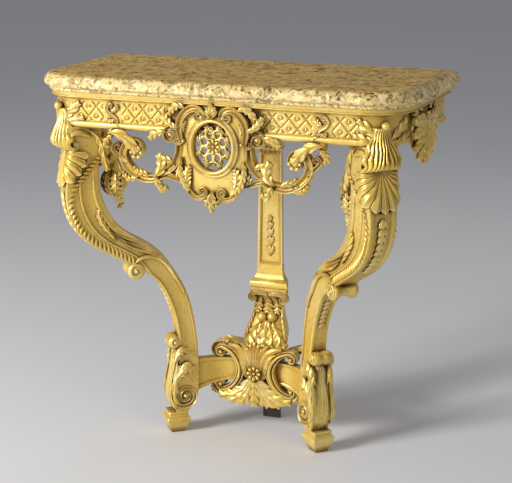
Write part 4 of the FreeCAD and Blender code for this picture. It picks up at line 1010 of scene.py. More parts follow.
            def on_side(run: Array, reach: Array, z: Array, hand: int = hand) -> Array:
                """Place on a side."""
                return np.stack([hand * (self.side + reach), run, z], axis=-1)

            bend = np.linspace(0, self.radius * math.pi / 2, 96)
            self.rail("frieze_corner_" + word, bend, on_corner, np.zeros_like, gilt, (True, True),
                      word + "_corner_block")
            depth = np.linspace(self.radius - self.front, self.back, 220)
            self.rail("frieze_side_" + word, depth, on_side, side_cut, gilt, (True, False), word + "_rail")
        spots = np.array([b[0] for b in self.bosses])
        face = unit(np.array([b[1] for b in self.bosses]))
        axes = axes_from(np.broadcast_to((0, 0, 1.0), face.shape), face)
        dress(repeater.run("trellis_bosses", boss_motif("boss", gilt), spots, axes, 1.0, gilt), "gilt")
        self.clasps(gilt)

    def clasps(self, finish: Material) -> None:
        """Carve the leaf scrolls that break the trellis."""
        stock = Stock()
        for hand in (1, -1):
            board = Board((hand * self.clasp_at, -self.front, self.foot), (hand, 0, 0), (0, 0, 1), ROOM)
            stock.scroll(board, ((8, 54), (13, 44), (6, 34), (-6, 26), (-10, 13), (-3, 2)),
                         (2, 3.6, 4.4, 4.6, 4.2, 3.4, 2), (4.6,), 1.0, 110, (5, 1.4, 330, 1),
                         (6, 1.4, 330, 1))
            for points, stalk in ((((4, 36), (-8, 44), (-14, 54)), 3), (((-8, 22), (4, 18), (12, 22)), 3),
                                  (((-6, 14), (-16, 8), (-18, -4)), 3), (((-2, 4), (4, -6), (2, -18)), 4)):
                stock.spray(board, points, (2, 4, 3), (stalk, 6, 1), 3.4, 3, 30, back=5.0)
        dress(stock.build("trellis_clasps", finish), "gilt")


# The front legs: each station has the outer edge and the inner edge, as shares of reach and height

LEG_STATIONS = (
    (0.930, 1.000, 0.656, 1.000),
    (0.938, 0.924, 0.690, 0.900),
    (0.977, 0.842, 0.688, 0.815),
    (0.988, 0.781, 0.655, 0.765),
    (0.930, 0.700, 0.560, 0.703),
    (0.770, 0.633, 0.400, 0.652),
    (0.560, 0.588, 0.200, 0.609),
    (0.330, 0.541, 0.060, 0.552),
    (0.180, 0.500, -0.075, 0.470),
    (0.065, 0.425, -0.158, 0.370),
    (0.004, 0.345, -0.188, 0.285),
    (-0.008, 0.260, -0.195, 0.210),
    (0.020, 0.185, -0.190, 0.150),
    (0.050, 0.120, -0.165, 0.105),
    (0.020, 0.068, -0.090, 0.068),
)


@dataclass
class Leg:
    """A scrolled cabriole leg in its own upright plane, with its shells, leaves and foot.

    The frieze corner above is a quarter turn of radius bend about the point bend_at, given out and across.
    Its ends are the sines of the angles at which it stops.
    """

    word: str
    hand: int
    reach: float = 256.0
    height: float = 736.0
    waist: Points = ((50, 22), (100, 25.5), (150, 23.5), (213, 19.5), (262, 18), (320, 20), (400, 25),
                     (500, 30), (600, 34), (736, 36))
    angle: float = 40.0
    foot: tuple = (176.0, 4.0)
    bend: float = 75.0
    bend_at: tuple = (175.0, 20.0)
    bend_ends: tuple = (-0.766, 0.643)
    stand_spread: float = 1.06
    stand_chamfer: float = 1.4

    def at(self, out: Any, across: Any, z: Any) -> Array:
        """Place points of the leg's plane: out from the foot, across the plane and up."""
        c, s = math.cos(math.radians(self.angle)), math.sin(math.radians(self.angle))
        out, across, z = np.broadcast_arrays(*(np.asarray(n, float) for n in (out, across, z)))
        x = self.foot[0] + out * c + across * s
        return np.stack([self.hand * x, self.foot[1] - out * s + across * c, z], axis=-1)

    def way(self, out: Any, across: Any, z: Any) -> Array:
        """Return a direction given in the leg's plane."""
        return self.at(out, across, z) - self.at(0, 0, 0)

    def board(self, across: float) -> Board:
        """Return the board on one flank of the leg."""
        zero = self.at(0, across, 0)
        right, out = self.at(1, across, 0) - zero, self.at(0, across + math.copysign(1, across), 0) - zero
        return Board(tuple(zero), tuple(right), (0, 0, 1), tuple(out))

    def corner(self, across: Array) -> tuple[Array, Array]:
        """Return how far out the frieze corner's ground lies across the leg, and the way it faces."""
        away = across - self.bend_at[1]
        turn = np.clip(away / self.bend, *self.bend_ends)
        rise = np.sqrt(1 - turn**2)
        out = self.bend_at[0] + self.bend * rise - (away - self.bend * turn) * turn / rise
        return out, self.way(rise, turn, 0)

    def half(self, z: Any) -> Any:
        """Return half the leg's width at a height."""
        level, wide = np.array(self.waist).T
        return np.interp(np.asarray(z, float), level, wide)

    def strand(self, stock: Stock, flank: int, points: Points, widths: Sequence[float], rise: float,
               lobes: int = 1, lift: float = -1.0) -> None:
        """Carve a leaf, or with one lobe a smooth fold, that lies on a flank.

        Args:
            stock: Wood to carve it in.
            flank: 1 or -1.
            points: Points of its midrib in the leg's plane.
            widths: Half widths along it.
            rise: Height of its crown.
            lobes: Lobes on each side.
            lift: Height of the midrib over the flank.
        """
        flat = smooth(points, 50)
        spine = self.at(flat[:, 0], flank * (self.half(flat[:, 1]) + lift), flat[:, 1])
        cut = {**FOLD, "across": 9} if lobes == 1 else {}
        stock.leaf(spine, self.way(0, flank, 0), along(widths, 50), rise, lobes, back=4.0, **cut)

    def edges(self, count: int) -> tuple[Array, Array]:
        """Return the leg's outer and inner edges in its plane, from head to foot."""
        rows = np.array(LEG_STATIONS) * np.array([self.reach, self.height, self.reach, self.height])
        both = smooth(rows, count)
        return both[:, :2], both[:, 2:]

    def body(self, finish: Material) -> None:
        """Carve the leg itself, with sunk panels and raised borders."""
        outer, inner = self.edges(190)
        share = np.linspace(0, 1, 190)
        sink = np.clip((share - 0.10) / 0.04, 0, 1) * np.clip((0.80 - share) / 0.05, 0, 1)
        plain = np.clip((share - 0.46) / 0.08, 0, 1)
        front = whole(((-1.0, -2.2), (-0.95, -0.4), (-0.86, 0), (-0.72, 0), (-0.64, -0.6), (-0.58, -4.0),
                       (-0.3, -4.6), (0, -4.2)))
        back = ((0.96, 0.8), (0.8, -0.6), (0.3, -1.6), (-0.3, -1.6), (-0.8, -0.6), (-0.96, 0.8))
        upper = np.array(((0.965, 0), (0.93, 0.4), (0.66, -0.4), (0.64, -0.8), (0.625, 1.6), (0.6, 2.2),
                          (0.575, 1.6), (0.555, -2.6), (0.4, -3.4), (0.245, -2.6), (0.225, 1.2), (0.195, 1.8),
                          (0.165, 1.2), (0.14, 0), (0.05, 0)))
        lower = np.array(((0.97, 0), (0.95, 0.6), (0.93, 1.0), (0.915, 1.4), (0.9, 1.8), (0.88, 1.8),
                          (0.86, 1.2), (0.84, -2.2), (0.5, -3.4), (0.16, -2.2), (0.14, 1.2), (0.12, 1.8),
                          (0.10, 1.4), (0.08, 0), (0.04, 0)))
        rings = []
        for o, i, cutting, low in zip(outer, inner, sink, plain):
            spoke, deep = unit(o - i), np.linalg.norm(o - i)
            w = self.half((o[1] + i[1]) / 2)
            flank = upper + (lower - upper) * low
            ring = [(*(o + spoke * d * (cutting if abs(g) < 0.6 else 1)), g * w) for g, d in front]
            ring += [(*(i + spoke * deep * f), w + d * cutting) for f, d in flank]
            ring += [(*(i + spoke * d), g * w) for g, d in back]
            ring += [(*(i + spoke * deep * f), -w - d * cutting) for f, d in flank[::-1]]
            out, up, across = np.array(ring).T
            rings.append(self.at(out, across, up))
        stock = Stock()
        stock.skin(np.array(rings))
        self.rolls(stock)
        dress(stock.build("leg_" + self.word, finish, 55), "gilt", self.word + "_leg")

    def rolls(self, stock: Stock) -> None:
        """Carve the scroll half way down, the bud below it and the volute at the foot."""
        spool = ((-1.0, 0.80), (-0.95, 0.94), (-0.82, 1.0), (-0.62, 0.97), (-0.4, 0.74), (0, 0.55))
        bud = ((-1.0, 0.66), (-0.92, 0.84), (-0.7, 0.98), (-0.35, 1.0), (-0.15, 0.9), (0, 0.86))
        for centre, radius, half, turns, swell in (((96, 398), 20.0, 29.0, 560, spool),
                                                   ((6, 219), 16.5, 22.5, 430, bud)):
            rings = []
            for share, grow in whole(swell):
                x, z = np.array(centre)[:, None] + radius * grow * circle(48).T
                rings.append(self.at(x, share * half, z))
            stock.skin(np.array(rings))
            eye = radius * (swell[0][1] + 0.04)
            start = np.array(centre) + np.array([0, eye])
            line = np.concatenate([start[None], curl(start, (1, 0), eye, 3.0, turns, -1, 80)])
            wide, rise = along((3.4, 2.8, 1.8), len(line)), along((4.4, 4.0, 3.0), len(line))
            for flank in (1, -1):
                board = self.board(flank * (half - 0.6))
                stock.band(board, line, wide, rise, 2.0, Section.ROUND)
                stock.lathe(board, centre, ((5.0, -1), (5.0, 2.4), (3.6, 5.0), (1.2, 6.0)), 16)
        for flank in (1, -1):
            board = self.board(flank * 24.0)
            stock.scroll(board, ((10, 164), (15, 132), (16, 108), (16, 91)),
                         (1.6, 4.2, 5.6, 5.8, 5.2, 4.6, 4.0, 2.6), (2, 5, 7, 8, 8, 7.5, 7, 6), 4.0, 190,
                         last=(31, 5.0, 640, -1))
            stock.lathe(board, (-15, 91), ((5.6, -1), (5.6, 5), (4.4, 8.4), (1.6, 10)), 16)

    def borders(self, finish: Material, repeater: Repeater) -> None:
        """Repeat leaf tips down both edges of the outer face, and husks down its middle."""
        outer, inner = (even(edge, 400) for edge in self.edges(400))
        tangent, normal = headings(outer)
        normal = normal * np.sign(np.sum(normal * (outer - inner), axis=1))[:, None]
        run = distances(outer)
        turned_in = ((166, 664), (178, 651), (194, 633), (211, 613), (225, 592))
        edge = (outer - normal * 21.0)[(run > 174) & (run < 384)][::8]
        track = even(smooth(np.concatenate([turned_in, edge]), 300), 30)
        spots, points, faces = [], [], []
        for flank in (1, -1):
            for base, slope in zip(track, headings(track)[0]):
                outward = self.way(-slope[1], 0, slope[0])
                spots.append(self.at(base[0], flank * (self.half(base[1]) - 1.2), base[1]))
                points.append(self.way(slope[0], 0, slope[1]) * 0.66 + outward * 0.75)
                faces.append(self.way(0, flank, 0) + outward * 0.12)
        axes = axes_from(np.array(points), np.array(faces))
        tips = repeater.run("leg_leaf_tips_" + self.word, tip_motif("tip", finish), spots, axes, 1.0, finish)
        dress(tips, "gilt")
        places = np.concatenate([np.arange(150.0, 300.0, 17.0), np.arange(478.0, 548.0, 12.5)])
        upper = places < 420
        k = np.searchsorted(run, places)
        seat = outer[k] - normal[k] * np.where(upper, 3.8, 3.4)[:, None]
        axes = axes_from(self.way(tangent[k, 0], 0, tangent[k, 1]), self.way(normal[k, 0], 0, normal[k, 1]))
        sizes = np.where(upper, 1.3 - 0.4 * (places - 150) / 150, 1.0)
        husks = repeater.run("leg_husks_" + self.word, husk_motif("husk", finish),
                             self.at(seat[:, 0], 0, seat[:, 1]), axes, sizes, finish)
        dress(husks, "gilt")

    def cap(self, finish: Material) -> None:
        """Carve the fluted shell that rolls over the frieze corner."""
        stock = Stock()
        line = scroll_line(((256, 774), (254, 758), (258, 741), (266, 721), (271, 706)),
                           last=(11, 4.0, 300, -1), count=110)
        _, normal = headings(line)
        share, v = np.linspace(0, 1, len(line))[:, None], np.linspace(-1, 1, 101)[None]
        half = np.interp(share, (0, 0.2, 0.5, 0.64, 0.8, 1), (20, 29, 43, 46, 45, 42))
        swing = 0.75 * np.sin(7.0 * share + 1.7) + 0.7 * np.sin(4.0 * v + 5.0 * share)
        ribs = np.abs(np.sin(np.pi * 5.5 * v + swing)) ** 0.6
        rise = np.interp(share, (0, 0.3, 0.6, 1), (2.0, 4.4, 6.0, 4.4)) * ribs
        sag = np.interp(share, (0, 0.3, 0.55, 1), (8, 18, 27, 29))
        wave = 2.0 * np.sin(np.pi * (3 * share + 2 * v))
        out = line[:, :1] + normal[:, :1] * rise - sag * np.abs(v) ** 2.2
        hang = 6.0 * np.abs(v) ** 2 + 5.0 * (1 - ribs)
        up = line[:, 1:] + normal[:, 1:] * rise - hang * np.clip(share * 1.6, 0, 1)
        lobed = 1 + 0.07 * np.abs(v) ** 4 * np.sin(26.0 * share)
        across = half * v * lobed + wave * np.clip(share * 2, 0, 1)
        top = self.at(out, across, up)
        low = self.at(out - normal[:, :1] * 7, across * 0.97, up - normal[:, 1:] * 7)
        stock.skin(np.concatenate([top, low[:, ::-1]], axis=1))
        knob = []
        for a in np.linspace(0.12, np.pi - 0.12, 13):
            x, z = 10 * np.sin(a) * circle(30).T
            knob.append(self.at(257 + x, -10 * np.cos(a), 779 + z))
        stock.skin(np.array(knob))
        for points, widths in ((((-6, 746), (-20, 764), (-33, 778), (-42, 790)), (6, 11, 9, 2)),
                               (((-14, 738), (-32, 750), (-48, 757)), (6, 10, 8, 2)),
                               (((10, 746), (28, 762), (46, 777), (56, 790)), (6, 11, 9, 2)),
                               (((20, 738), (44, 749), (64, 757)), (6, 10, 8, 2))):
            flat = smooth(points, 40)
            out, way = self.corner(flat[:, 0])
            spine = self.at(out, flat[:, 0], flat[:, 1]) + way * 1.5
            stock.leaf(spine, way, along(widths, 40), 4.6, 3, notch=0.4, back=6.0)
        for flank in (1, -1):
            self.strand(stock, flank, ((248, 706), (234, 719), (216, 722), (196, 712)), (4, 7, 7, 2.5), 6.0,
                        lift=1.0)
        dress(stock.build("shell_cap_" + self.word, finish), "gilt", self.word + "_shell_cap")

    def knee(self, finish: Material) -> None:
        """Carve the hanging scallop shell that wraps round the knee."""
        outer, _ = self.edges(200)
        ribs, spread, half, corner, thick = 11, 1.45, 36.0, 13.0, 8.0
        theta = np.linspace(-spread, spread, ribs * 14 + 1)[None]
        r = np.concatenate([np.linspace(0.05, 0.9, 34), np.linspace(0.92, 1.0, 8)])[:, None]
        wave = np.abs(np.sin(np.pi * ribs * (theta + spread) / (2 * spread))) ** 0.45
        length = 82.0 - 22.0 * np.abs(theta / spread) ** 1.6 + 8.0 * wave**2.2
        wide = r * length * np.sin(theta)
        z = 688.0 - r * length * np.cos(theta)
        face = np.interp(z, outer[::-1, 1], outer[::-1, 0])
        arc, sign, flat = np.abs(wide), np.sign(wide), half - corner
        turn = np.clip((arc - flat) / corner, 0, math.pi / 2)
        across = sign * (np.minimum(arc, flat) + corner * np.sin(turn))
        drop = corner * (1 - np.cos(turn)) + np.maximum(arc - flat - corner * math.pi / 2, 0)
        belly = 3.0 + 5.0 * np.sin(np.pi * r * 0.8)
        scored = 1.3 * np.cos(2 * np.pi * ribs * 2 * (theta + spread) / (2 * spread))
        lift = belly + 6.0 * r**0.6 * (wave - 0.55) + scored * r
        out = face - drop + lift * np.cos(turn)
        side = across + sign * lift * np.sin(turn)
        top = self.at(out, side, z)
        low = self.at(out - thick * np.cos(turn), side - sign * thick * np.sin(turn), z)
        stock = Stock()
        stock.skin(np.concatenate([top, low[:, ::-1]], axis=1))
        dress(stock.build("knee_shell_" + self.word, finish), "gilt", self.word + "_knee_shell")

    def bracket(self, finish: Material) -> None:
        """Carve the hanging leaves, the pod and the curl inside the leg's head."""
        stock = Stock()
        line = smooth(((172, 735), (164, 712), (150, 680), (138, 650), (126, 622)), 60)
        for flank, start, tip, wide in ((0, 0, 0, 24), (1, 14, 22, 17), (-1, 14, 22, 17)):
            spine = self.at(line[:, 0], flank * np.linspace(start, tip, 60), line[:, 1])
            widths = along((12, wide, wide, wide * 0.8, 4), 60)
            stock.leaf(spine, self.way(-1, flank * 1.6, -0.2), widths, 7.0, 6, back=15.0, across=17)
        for flank in (1, -1):
            self.strand(stock, flank, ((206, 730), (186, 718), (172, 694), (166, 664), (158, 634)),
                        (4, 10, 11, 9, 3), 5.0, 5)
        pod = []
        for a in np.linspace(0.02, np.pi - 0.02, 22):
            x, y = np.sin(a) * circle(28).T
            pod.append(self.at(137 + 25 * x, 21 * y, 602 + 27 * np.cos(a)))
        stock.skin(np.array(pod))
        drop = np.linspace(0.15, np.pi * 0.92, 44)
        for k in range(7):
            swing = 2 * math.pi * k / 7 + 0.3
            x, y = math.cos(swing) * 25, math.sin(swing) * 22
            spine = self.at(137 + x * np.sin(drop), y * np.sin(drop), 602 + 28 * np.cos(drop))
            stock.leaf(spine, self.way(x, y, 0), along((4, 11, 13, 10, 3), 44), 4.6, 6, back=4.0, across=11)
        stock.scroll(self.board(1.0).moved(-1.0), ((150, 590), (138, 572), (134, 562)), (5, 4.6, 4, 2),
                     (9, 9, 8, 6), 8.0, 80, last=(9, 2.0, 420, -1), section=Section.ROUND)
        drop = smooth(((136, 580), (126, 566), (122, 552), (128, 540)), 40)
        spine = self.at(drop[:, 0], 0, drop[:, 1])
        stock.leaf(spine, self.way(-1, 0, -0.2), along((4, 9, 8, 2), 40), 5.0, 4, back=5.0)
        web = smooth(((236, 734), (200, 731), (160, 733)), 24)
        spine = self.at(web[:, 0], 0, web[:, 1])
        stock.leaf(spine, (0, 0, -1), along((24, 28, 14), 24), 5.0, 4, back=6.0, across=17)
        dress(stock.build("leg_bracket_" + self.word, finish), "gilt", self.word + "_leg_bracket")

    def foliage(self, finish: Material) -> None:
        """Carve the folded leaf over the foot and the leaves at the scrolls."""
        stock = Stock()
        line = smooth(((2, 200), (4, 172), (9, 140), (15, 108), (15, 84), (9, 66), (3, 56)), 70)
        _, normal = headings(line)
        v = np.linspace(-1, 1, 61)[None]
        rise = 2.0 - 13.0 * np.abs(v) ** 3
        across = along((15, 19, 24, 26, 25, 20), 70)[:, None] * v
        top = self.at(line[:, :1] + normal[:, :1] * rise, across, line[:, 1:] + normal[:, 1:] * rise)
        low = self.at(line[:, :1] - 14, across[:, ::-1] * 0.9, line[:, 1:])
        stock.skin(np.concatenate([top, low], axis=1))
        for k, end, wide in ((-2, 62, 9.0), (2, 68, 9.0), (-1, 60, 9.6), (1, 57, 9.6), (0, 54, 8.6)):
            level = np.linspace(208 - 6 * abs(k), end, 60)
            front = np.interp(level, line[::-1, 1], line[::-1, 0]) + 2.0 - 4.5 * (abs(k) == 2)
            spread = k * np.interp(level, (54, 70, 100, 150, 208), (8.0, 10.0, 11.0, 8.0, 5.0))
            spine = self.at(front, spread + 1.4 * np.sin(level / 19.0 + k), level)
            widths = along((4, wide * 0.66, wide * 0.9, wide, wide * 0.9, 4), 60)
            stock.leaf(spine, self.way(1.0, 0.28 * k, 0), widths, 3.8, 1, **FOLD, back=5.0, across=11)
        for flank in (1, -1):
            for points, lifts, widths in (
                (((10, 116), (6, 134), (-4, 150), (-18, 157), (-31, 150)), (23, 26, 29, 31, 27),
                 (6, 12, 17, 15, 5)),
                (((12, 150), (9, 172), (2, 190), (-10, 199), (-22, 196)), (20, 22, 24, 25, 22),
                 (4, 9, 12, 10, 4)),
            ):
                curled = smooth(points, 60)
                spine = self.at(curled[:, 0], flank * along(lifts, 60), curled[:, 1])
                stock.leaf(spine, self.way(0.2, flank, 0.1), along(widths, 60), 6.0, 4, notch=0.38, fold=0.45,
                           back=7.0)
            self.strand(stock, flank, ((4, 196), (6, 160), (10, 124), (12, 94), (4, 66)), (3, 8, 11, 12, 5),
                        6.0, 3, 0.5)
            self.strand(stock, flank, ((106, 412), (85, 427), (53, 428), (27, 411), (8, 382), (-7, 357),
                                       (-17, 334)), (4.0, 5.6, 5.8, 5.2, 4.2, 3.2, 2.0), 6.0, lift=-0.4)
            self.strand(stock, flank, ((150, 494), (122, 478), (80, 460), (46, 435), (22, 405), (4, 372)),
                        (2.2, 5.0, 5.6, 5.0, 4.0, 1.0), 6.0, lift=-0.6)
            for t in (0.5, 1.0):
                points = ((150 - 24 * t, 494 - 24 * t), (122 - 16 * t, 478 - 22 * t),
                          (80 - 2 * t, 462 - 17 * t), (48 + 5 * t, 440 - 5 * t), (27 + 8 * t, 417 + 2 * t))
                self.strand(stock, flank, points, (2.2, 5.0, 5.4, 4.8, 2.0), 6.0, lift=-0.6)
            self.strand(stock, flank, ((140, 470), (160, 497), (176, 522), (182, 548)), (3, 7, 8, 2), 5.0, 5)
        dress(stock.build("leg_foliage_" + self.word, finish), "gilt")

    def stand(self, finish: Material) -> None:
        """Carve the moulded block and the toe under the leg."""
        block = ((20.0, 50.0), (21.0, 49.6), (21.6, 48.0), (21.6, 45.4), (20.4, 44.2), (20.8, 42.0),
                 (22.6, 39.0), (25.4, 36.2), (26.0, 34.6), (26.0, 29.6), (25.2, 28.2), (21.0, 16.2))
        toe = ((20.6, 16.1), (20.0, 14.6), (17.0, 6.0), (15.4, 1.4), (14.6, 0.0))
        for name, profile in (("foot_block", block), ("toe", toe)):
            rings = []
            for wide, z in profile:
                h = wide * self.stand_spread
                e = h - self.stand_chamfer
                flat = np.array([(h, -e), (h, e), (e, h), (-e, h), (-h, e), (-h, -e), (-e, -h), (e, -h)])
                rings.append(self.at(flat[:, 0], flat[:, 1], z))
            stock = Stock()
            stock.skin(np.array(rings))
            dress(stock.build(name + "_" + self.word, finish, 24), "gilt", self.word + "_" + name)

    def build(self, finishes: Finishes, repeater: Repeater) -> None:
        """Build and dress the whole leg."""
        self.body(finishes.gilt)
        self.borders(finishes.gilt, repeater)
        for carve in (self.cap, self.knee, self.bracket, self.foliage, self.stand):
            carve(finishes.gilt)


# The apron


@dataclass
class Apron:
    """The cartouche and the pierced scrolls beside it."""

    plane: float = -168.0
    oval: tuple = (43.5, 51.0)
    middle: float = 715.0
    shield: Points = ((0, 794), (40, 792), (62, 777), (72, 750), (77, 713), (77, 671), (72, 642), (58, 617),
                      (38, 600), (17, 594), (0, 582))

    def board(self, lift: float = 0.0) -> Board:
        """Return the apron's board, brought forward."""
        return facing_room(self.plane - lift)

    def ring(self, grow: float, count: int = 96) -> Array:
        """Return an oval round the opening."""
        x, z = circle(count).T
        return np.stack([(self.oval[0] + grow) * x, self.middle + (self.oval[1] + grow) * z], axis=1)

    def cartouche(self, finish: Material) -> None:
        """Carve the shield with its oval frame."""
        half = smooth(self.shield, 49)
        rim = np.concatenate([half, (half * np.array([-1, 1]))[::-1][1:-1]])
        angle = np.arctan2((rim[:, 1] - self.middle) / self.oval[1], rim[:, 0] / self.oval[0])
        hole = np.stack([self.oval[0] * np.cos(angle), self.middle + self.oval[1] * np.sin(angle)], axis=1)
        board = self.board()
        profile = ((1.0, 0.2), (1.0, 7.0), (0.98, 9.5), (0.94, 11.0), (0.89, 10.4), (0.85, 8.4), (0.6, 9.6),
                   (0.3, 12.0), (0.0, 12.0), (0.0, 0.2))
        rings = [board.at(hole + (rim - hole) * share, lift) for share, lift in profile]
        stock = Stock()
        stock.skin(np.array(rings), closed=True)
        dress(stock.build("cartouche_board", finish), "gilt", "cartouche_shield")
        stock = Stock()
        board = self.board(12.0)
        stock.band(board, self.ring(4.6), 4.6, 7.4, 1.0, Section.ROUND, closed=True)
        stock.band(board, self.ring(11.4), 3.6, 4.4, 1.0, Section.FILLETED, closed=True)
        dress(stock.build("cartouche_frame", finish), "gilt", "cartouche_oval")

    def fretwork(self, finish: Material) -> None:
        """Carve the pierced rosette in the opening."""
        stock = Stock()
        board = self.board(5.0)
        a, b = self.oval
        for k in range(8):
            turn = k * math.pi / 4 + math.pi / 8
            c, s = math.cos(turn), math.sin(turn)

            def spin(*points: Sequence[float]) -> list:
                """Turn shares of the oval to this arm."""
                return [(a * (x * c - y * s), self.middle + b * (x * s + y * c)) for x, y in points]

            for flip in (1, -1):
                arm = spin((0.30, 0), (0.40, flip * 0.14), (0.58, flip * 0.20), (0.70, flip * 0.07))
                stock.scroll(board, arm, (2.6, 3.2, 3.2, 2.6, 1.4), (4, 5, 5, 4), 3.0, 60,
                             last=(3.6, 1.0, 300, flip), section=Section.ROUND)
            stock.spray(board, spin((0.66, 0), (0.82, 0), (1.02, 0)), (3, 5, 2), (3, 6.4, 5, 3), 3.4, 3, 22,
                        back=4.0, across=11)
            stock.bloom(board.moved(1.0), spin((0.62, 0.40))[0], 6.0, 5, 4.4, 4.0)
        stock.bloom(board.moved(2.0), (0, self.middle), 16.0, 8, 6.0, 4.0)
        dress(stock.build("cartouche_rosette", finish), "gilt", "cartouche_fretwork")

    def crest(self, finish: Material) -> None:
        """Carve the scrolls and the palmette over the oval."""
        stock = Stock()
        board = self.board(9.0)
        for hand in (1, -1):
            points = ((72, 726), (76, 748), (72, 770), (58, 788), (40, 795), (26, 790))
            stock.scroll(board, mirrored(points, hand), (2.0, 5.0, 8.0, 9.0, 9.0, 8.0, 5.4, 3.0),
                         (4, 8, 10, 11, 11, 10, 8, 6), 8.0, 170, (9, 2.0, 330, hand), (12, 2.6, 430, hand))
            for (x, z), r in (((66, 724), 3.6), ((24, 777), 4.6)):
                stock.lathe(board, (hand * x, z), ((r, -4), (r, 6), (r * 0.7, 9), (r * 0.2, 10)), 16)
            for lift, points, widths, count, back in (
                (-4.0, ((60, 732), (65, 752), (57, 771), (40, 783), (14, 786)), (8, 12, 13, 13, 12), 40, 7.0),
                (-6.0, ((80, 748), (90, 768), (82, 788)), (6, 11, 7), 24, 5.0),
            ):
                ground = smooth(mirrored(points, hand), count)
                stock.band(board.moved(lift), ground, along(widths, count), 5.0, back, Section.ROUND)
            for points, lifts, widths, rise, lobes, count, back in (
                (((66, 742), (66, 756), (60, 768)), (3, 5, 3), (2, 4.4, 4.4, 1), 3.4, 4, 30, 6.0),
                (((58, 792), (72, 800), (88, 792), (98, 778)), (8, 10, 9, 7), (4, 9, 8, 2), 4.6, 4, 36, 5.0),
                (((76, 752), (92, 758), (105, 770), (113, 785)), (6, 8, 7, 4), (4, 8, 8, 2), 4.4, 4, 36, 6.0),
                (((70, 690), (73, 668), (66, 640), (52, 618)), (5, 7, 8, 8), (3, 7, 8, 3), 4.0, 6, 50, 4.0),
            ):
                stock.spray(board, mirrored(points, hand), lifts, widths, rise, lobes, count, back=back)
        for lean, long in ((-40, 20), (40, 20), (-20, 25), (20, 25), (0, 30)):
            x, z = math.sin(math.radians(lean)) * long, math.cos(math.radians(lean)) * long
            points = ((0, 776), (x * 0.55, 778 + z * 0.5), (x, 778 + z))
            stock.spray(board, points, (7, 13, 10), (2, 4.6, 5.0, 1.5), 3.6, 1, 24, notch=0.0, fold=0.2,
                        back=7.0, across=9)
        dress(stock.build("cartouche_crest_carving", finish), "gilt", "cartouche_crest")

    def drop(self, finish: Material) -> None:
        """Carve the scrolls and the leaves under the oval."""
        stock = Stock()
        board = self.board(11.0)
        for hand in (1, -1):
            points = mirrored(((18, 609), (32, 604), (48, 612), (60, 630), (67, 654)), hand)
            stock.scroll(board, points, (2.4, 4.0, 5.4, 6.0, 5.2, 3.0), (6, 8, 8, 7, 4), 4.0, 120,
                         (9.5, 2.0, 460, -hand))
            stock.lathe(board, (hand * 15, 600), ((4.0, -2), (4.0, 5), (2.8, 7), (0.8, 8)), 14)
            points = mirrored(((50, 626), (56, 642), (56, 660), (50, 672)), hand)
            stock.spray(board, points, (3, 4, 3), (4, 10, 9, 2), 4.0, 5, 36, back=4.0)
        for lean, long in ((-30, 24), (30, 24), (0, 34)):
            x, z = math.sin(math.radians(lean)) * long, math.cos(math.radians(lean)) * long
            points = ((0, 622), (x * 0.6, 610 - z * 0.5), (x, 610 - z))
            stock.spray(board, points, (4, 10, 7), (3, 7, 7, 2), 4.6, 3, 28, back=6.0)
        dress(stock.build("cartouche_drop_carving", finish), "gilt", "cartouche_drop")

    def rinceau(self, word: str, hand: int, finish: Material) -> None:
        """Carve the pierced scrolls on one side of the cartouche."""
        stock = Stock()
        board = self.board(-1.0)
        inner = ((79, 735), (78, 706), (92, 670), (122, 650))
        stock.scroll(board, mirrored(inner, hand), (3.6, 6.4, 8.6, 9.8, 10.2, 9.8, 8.0),
                     (14, 15, 14, 12, 11, 10, 9), 9.0, 170, (19, 5.0, 420, -hand))
        lower = ((60, 630), (86, 639), (108, 646), (130, 640), (158, 635), (186, 644), (206, 663), (213, 686),
                 (204, 706))
        stock.scroll(board, mirrored(lower, hand), (1.0, 6.4, 8.4, 9.6, 10.2, 10.4, 10.0, 8.6, 6.8, 5.0, 3.0),
                     (8, 9, 10, 10, 10, 10, 10, 9, 8, 8, 7), 9.0, 230, last=(22, 6.0, 400, hand))
        stock.bloom(board.moved(3.0), (hand * 181, 690), 15.0, 6, 7.0, 8.0)
        stock.lathe(board, (hand * 99, 735), ((6.4, -6), (6.4, 8), (4.8, 12), (1.4, 14)), 18)
        outer = ((206, 668), (222, 680), (234, 690))
        stock.scroll(board, mirrored(outer, hand), (4.0, 5.4, 5.0, 4.0, 2.0), (8, 9, 8, 7), 8.0, 90,
                     last=(11, 2.4, 330, hand))
        leaves = (
            (((250, 728), (228, 731), (206, 722), (190, 706), (178, 690)), (7, 12, 13, 11, 3), 3, 6.0),
            (((236, 726), (246, 716), (252, 706), (246, 696)), (4, 8, 8, 2), 4, 5.0),
            (((140, 640), (126, 652), (120, 672), (128, 690)), (6, 12, 12, 2), 3, 6.0),
            (((132, 642), (128, 628), (118, 617), (108, 620)), (6, 10, 9, 2), 3, 6.0),
            (((150, 637), (164, 648), (176, 650), (186, 660)), (4, 8, 7, 2), 4, 5.0),
            (((92, 668), (104, 680), (116, 680), (122, 670)), (4, 9, 9, 2), 3, 5.0),
            (((108, 740), (124, 738), (138, 732), (148, 722)), (6, 10, 9, 2), 3, 5.0),
            (((84, 640), (80, 652), (72, 660), (64, 658)), (4, 8, 7, 2), 4, 5.0),
            (((176, 638), (194, 632), (206, 638), (212, 648)), (4, 7, 6, 2), 4, 5.0),
        )
        for points, widths, lobes, rise in leaves:
            stock.spray(board, mirrored(points, hand), (4, 9, 9, 7), widths, rise, lobes, 50, back=7.0)
        for x0, x1 in ((88, 112), (232, 252)):
            tab = smooth(mirrored((((x0 + x1) / 2, 722), ((x0 + x1) / 2, 737)), hand), 6)
            stock.band(board, tab, (x1 - x0) / 2 * 0.6, 5.0, 8.0, Section.ROUND)
        dress(stock.build("apron_scroll_" + word, finish), "gilt", word + "_apron_scroll")

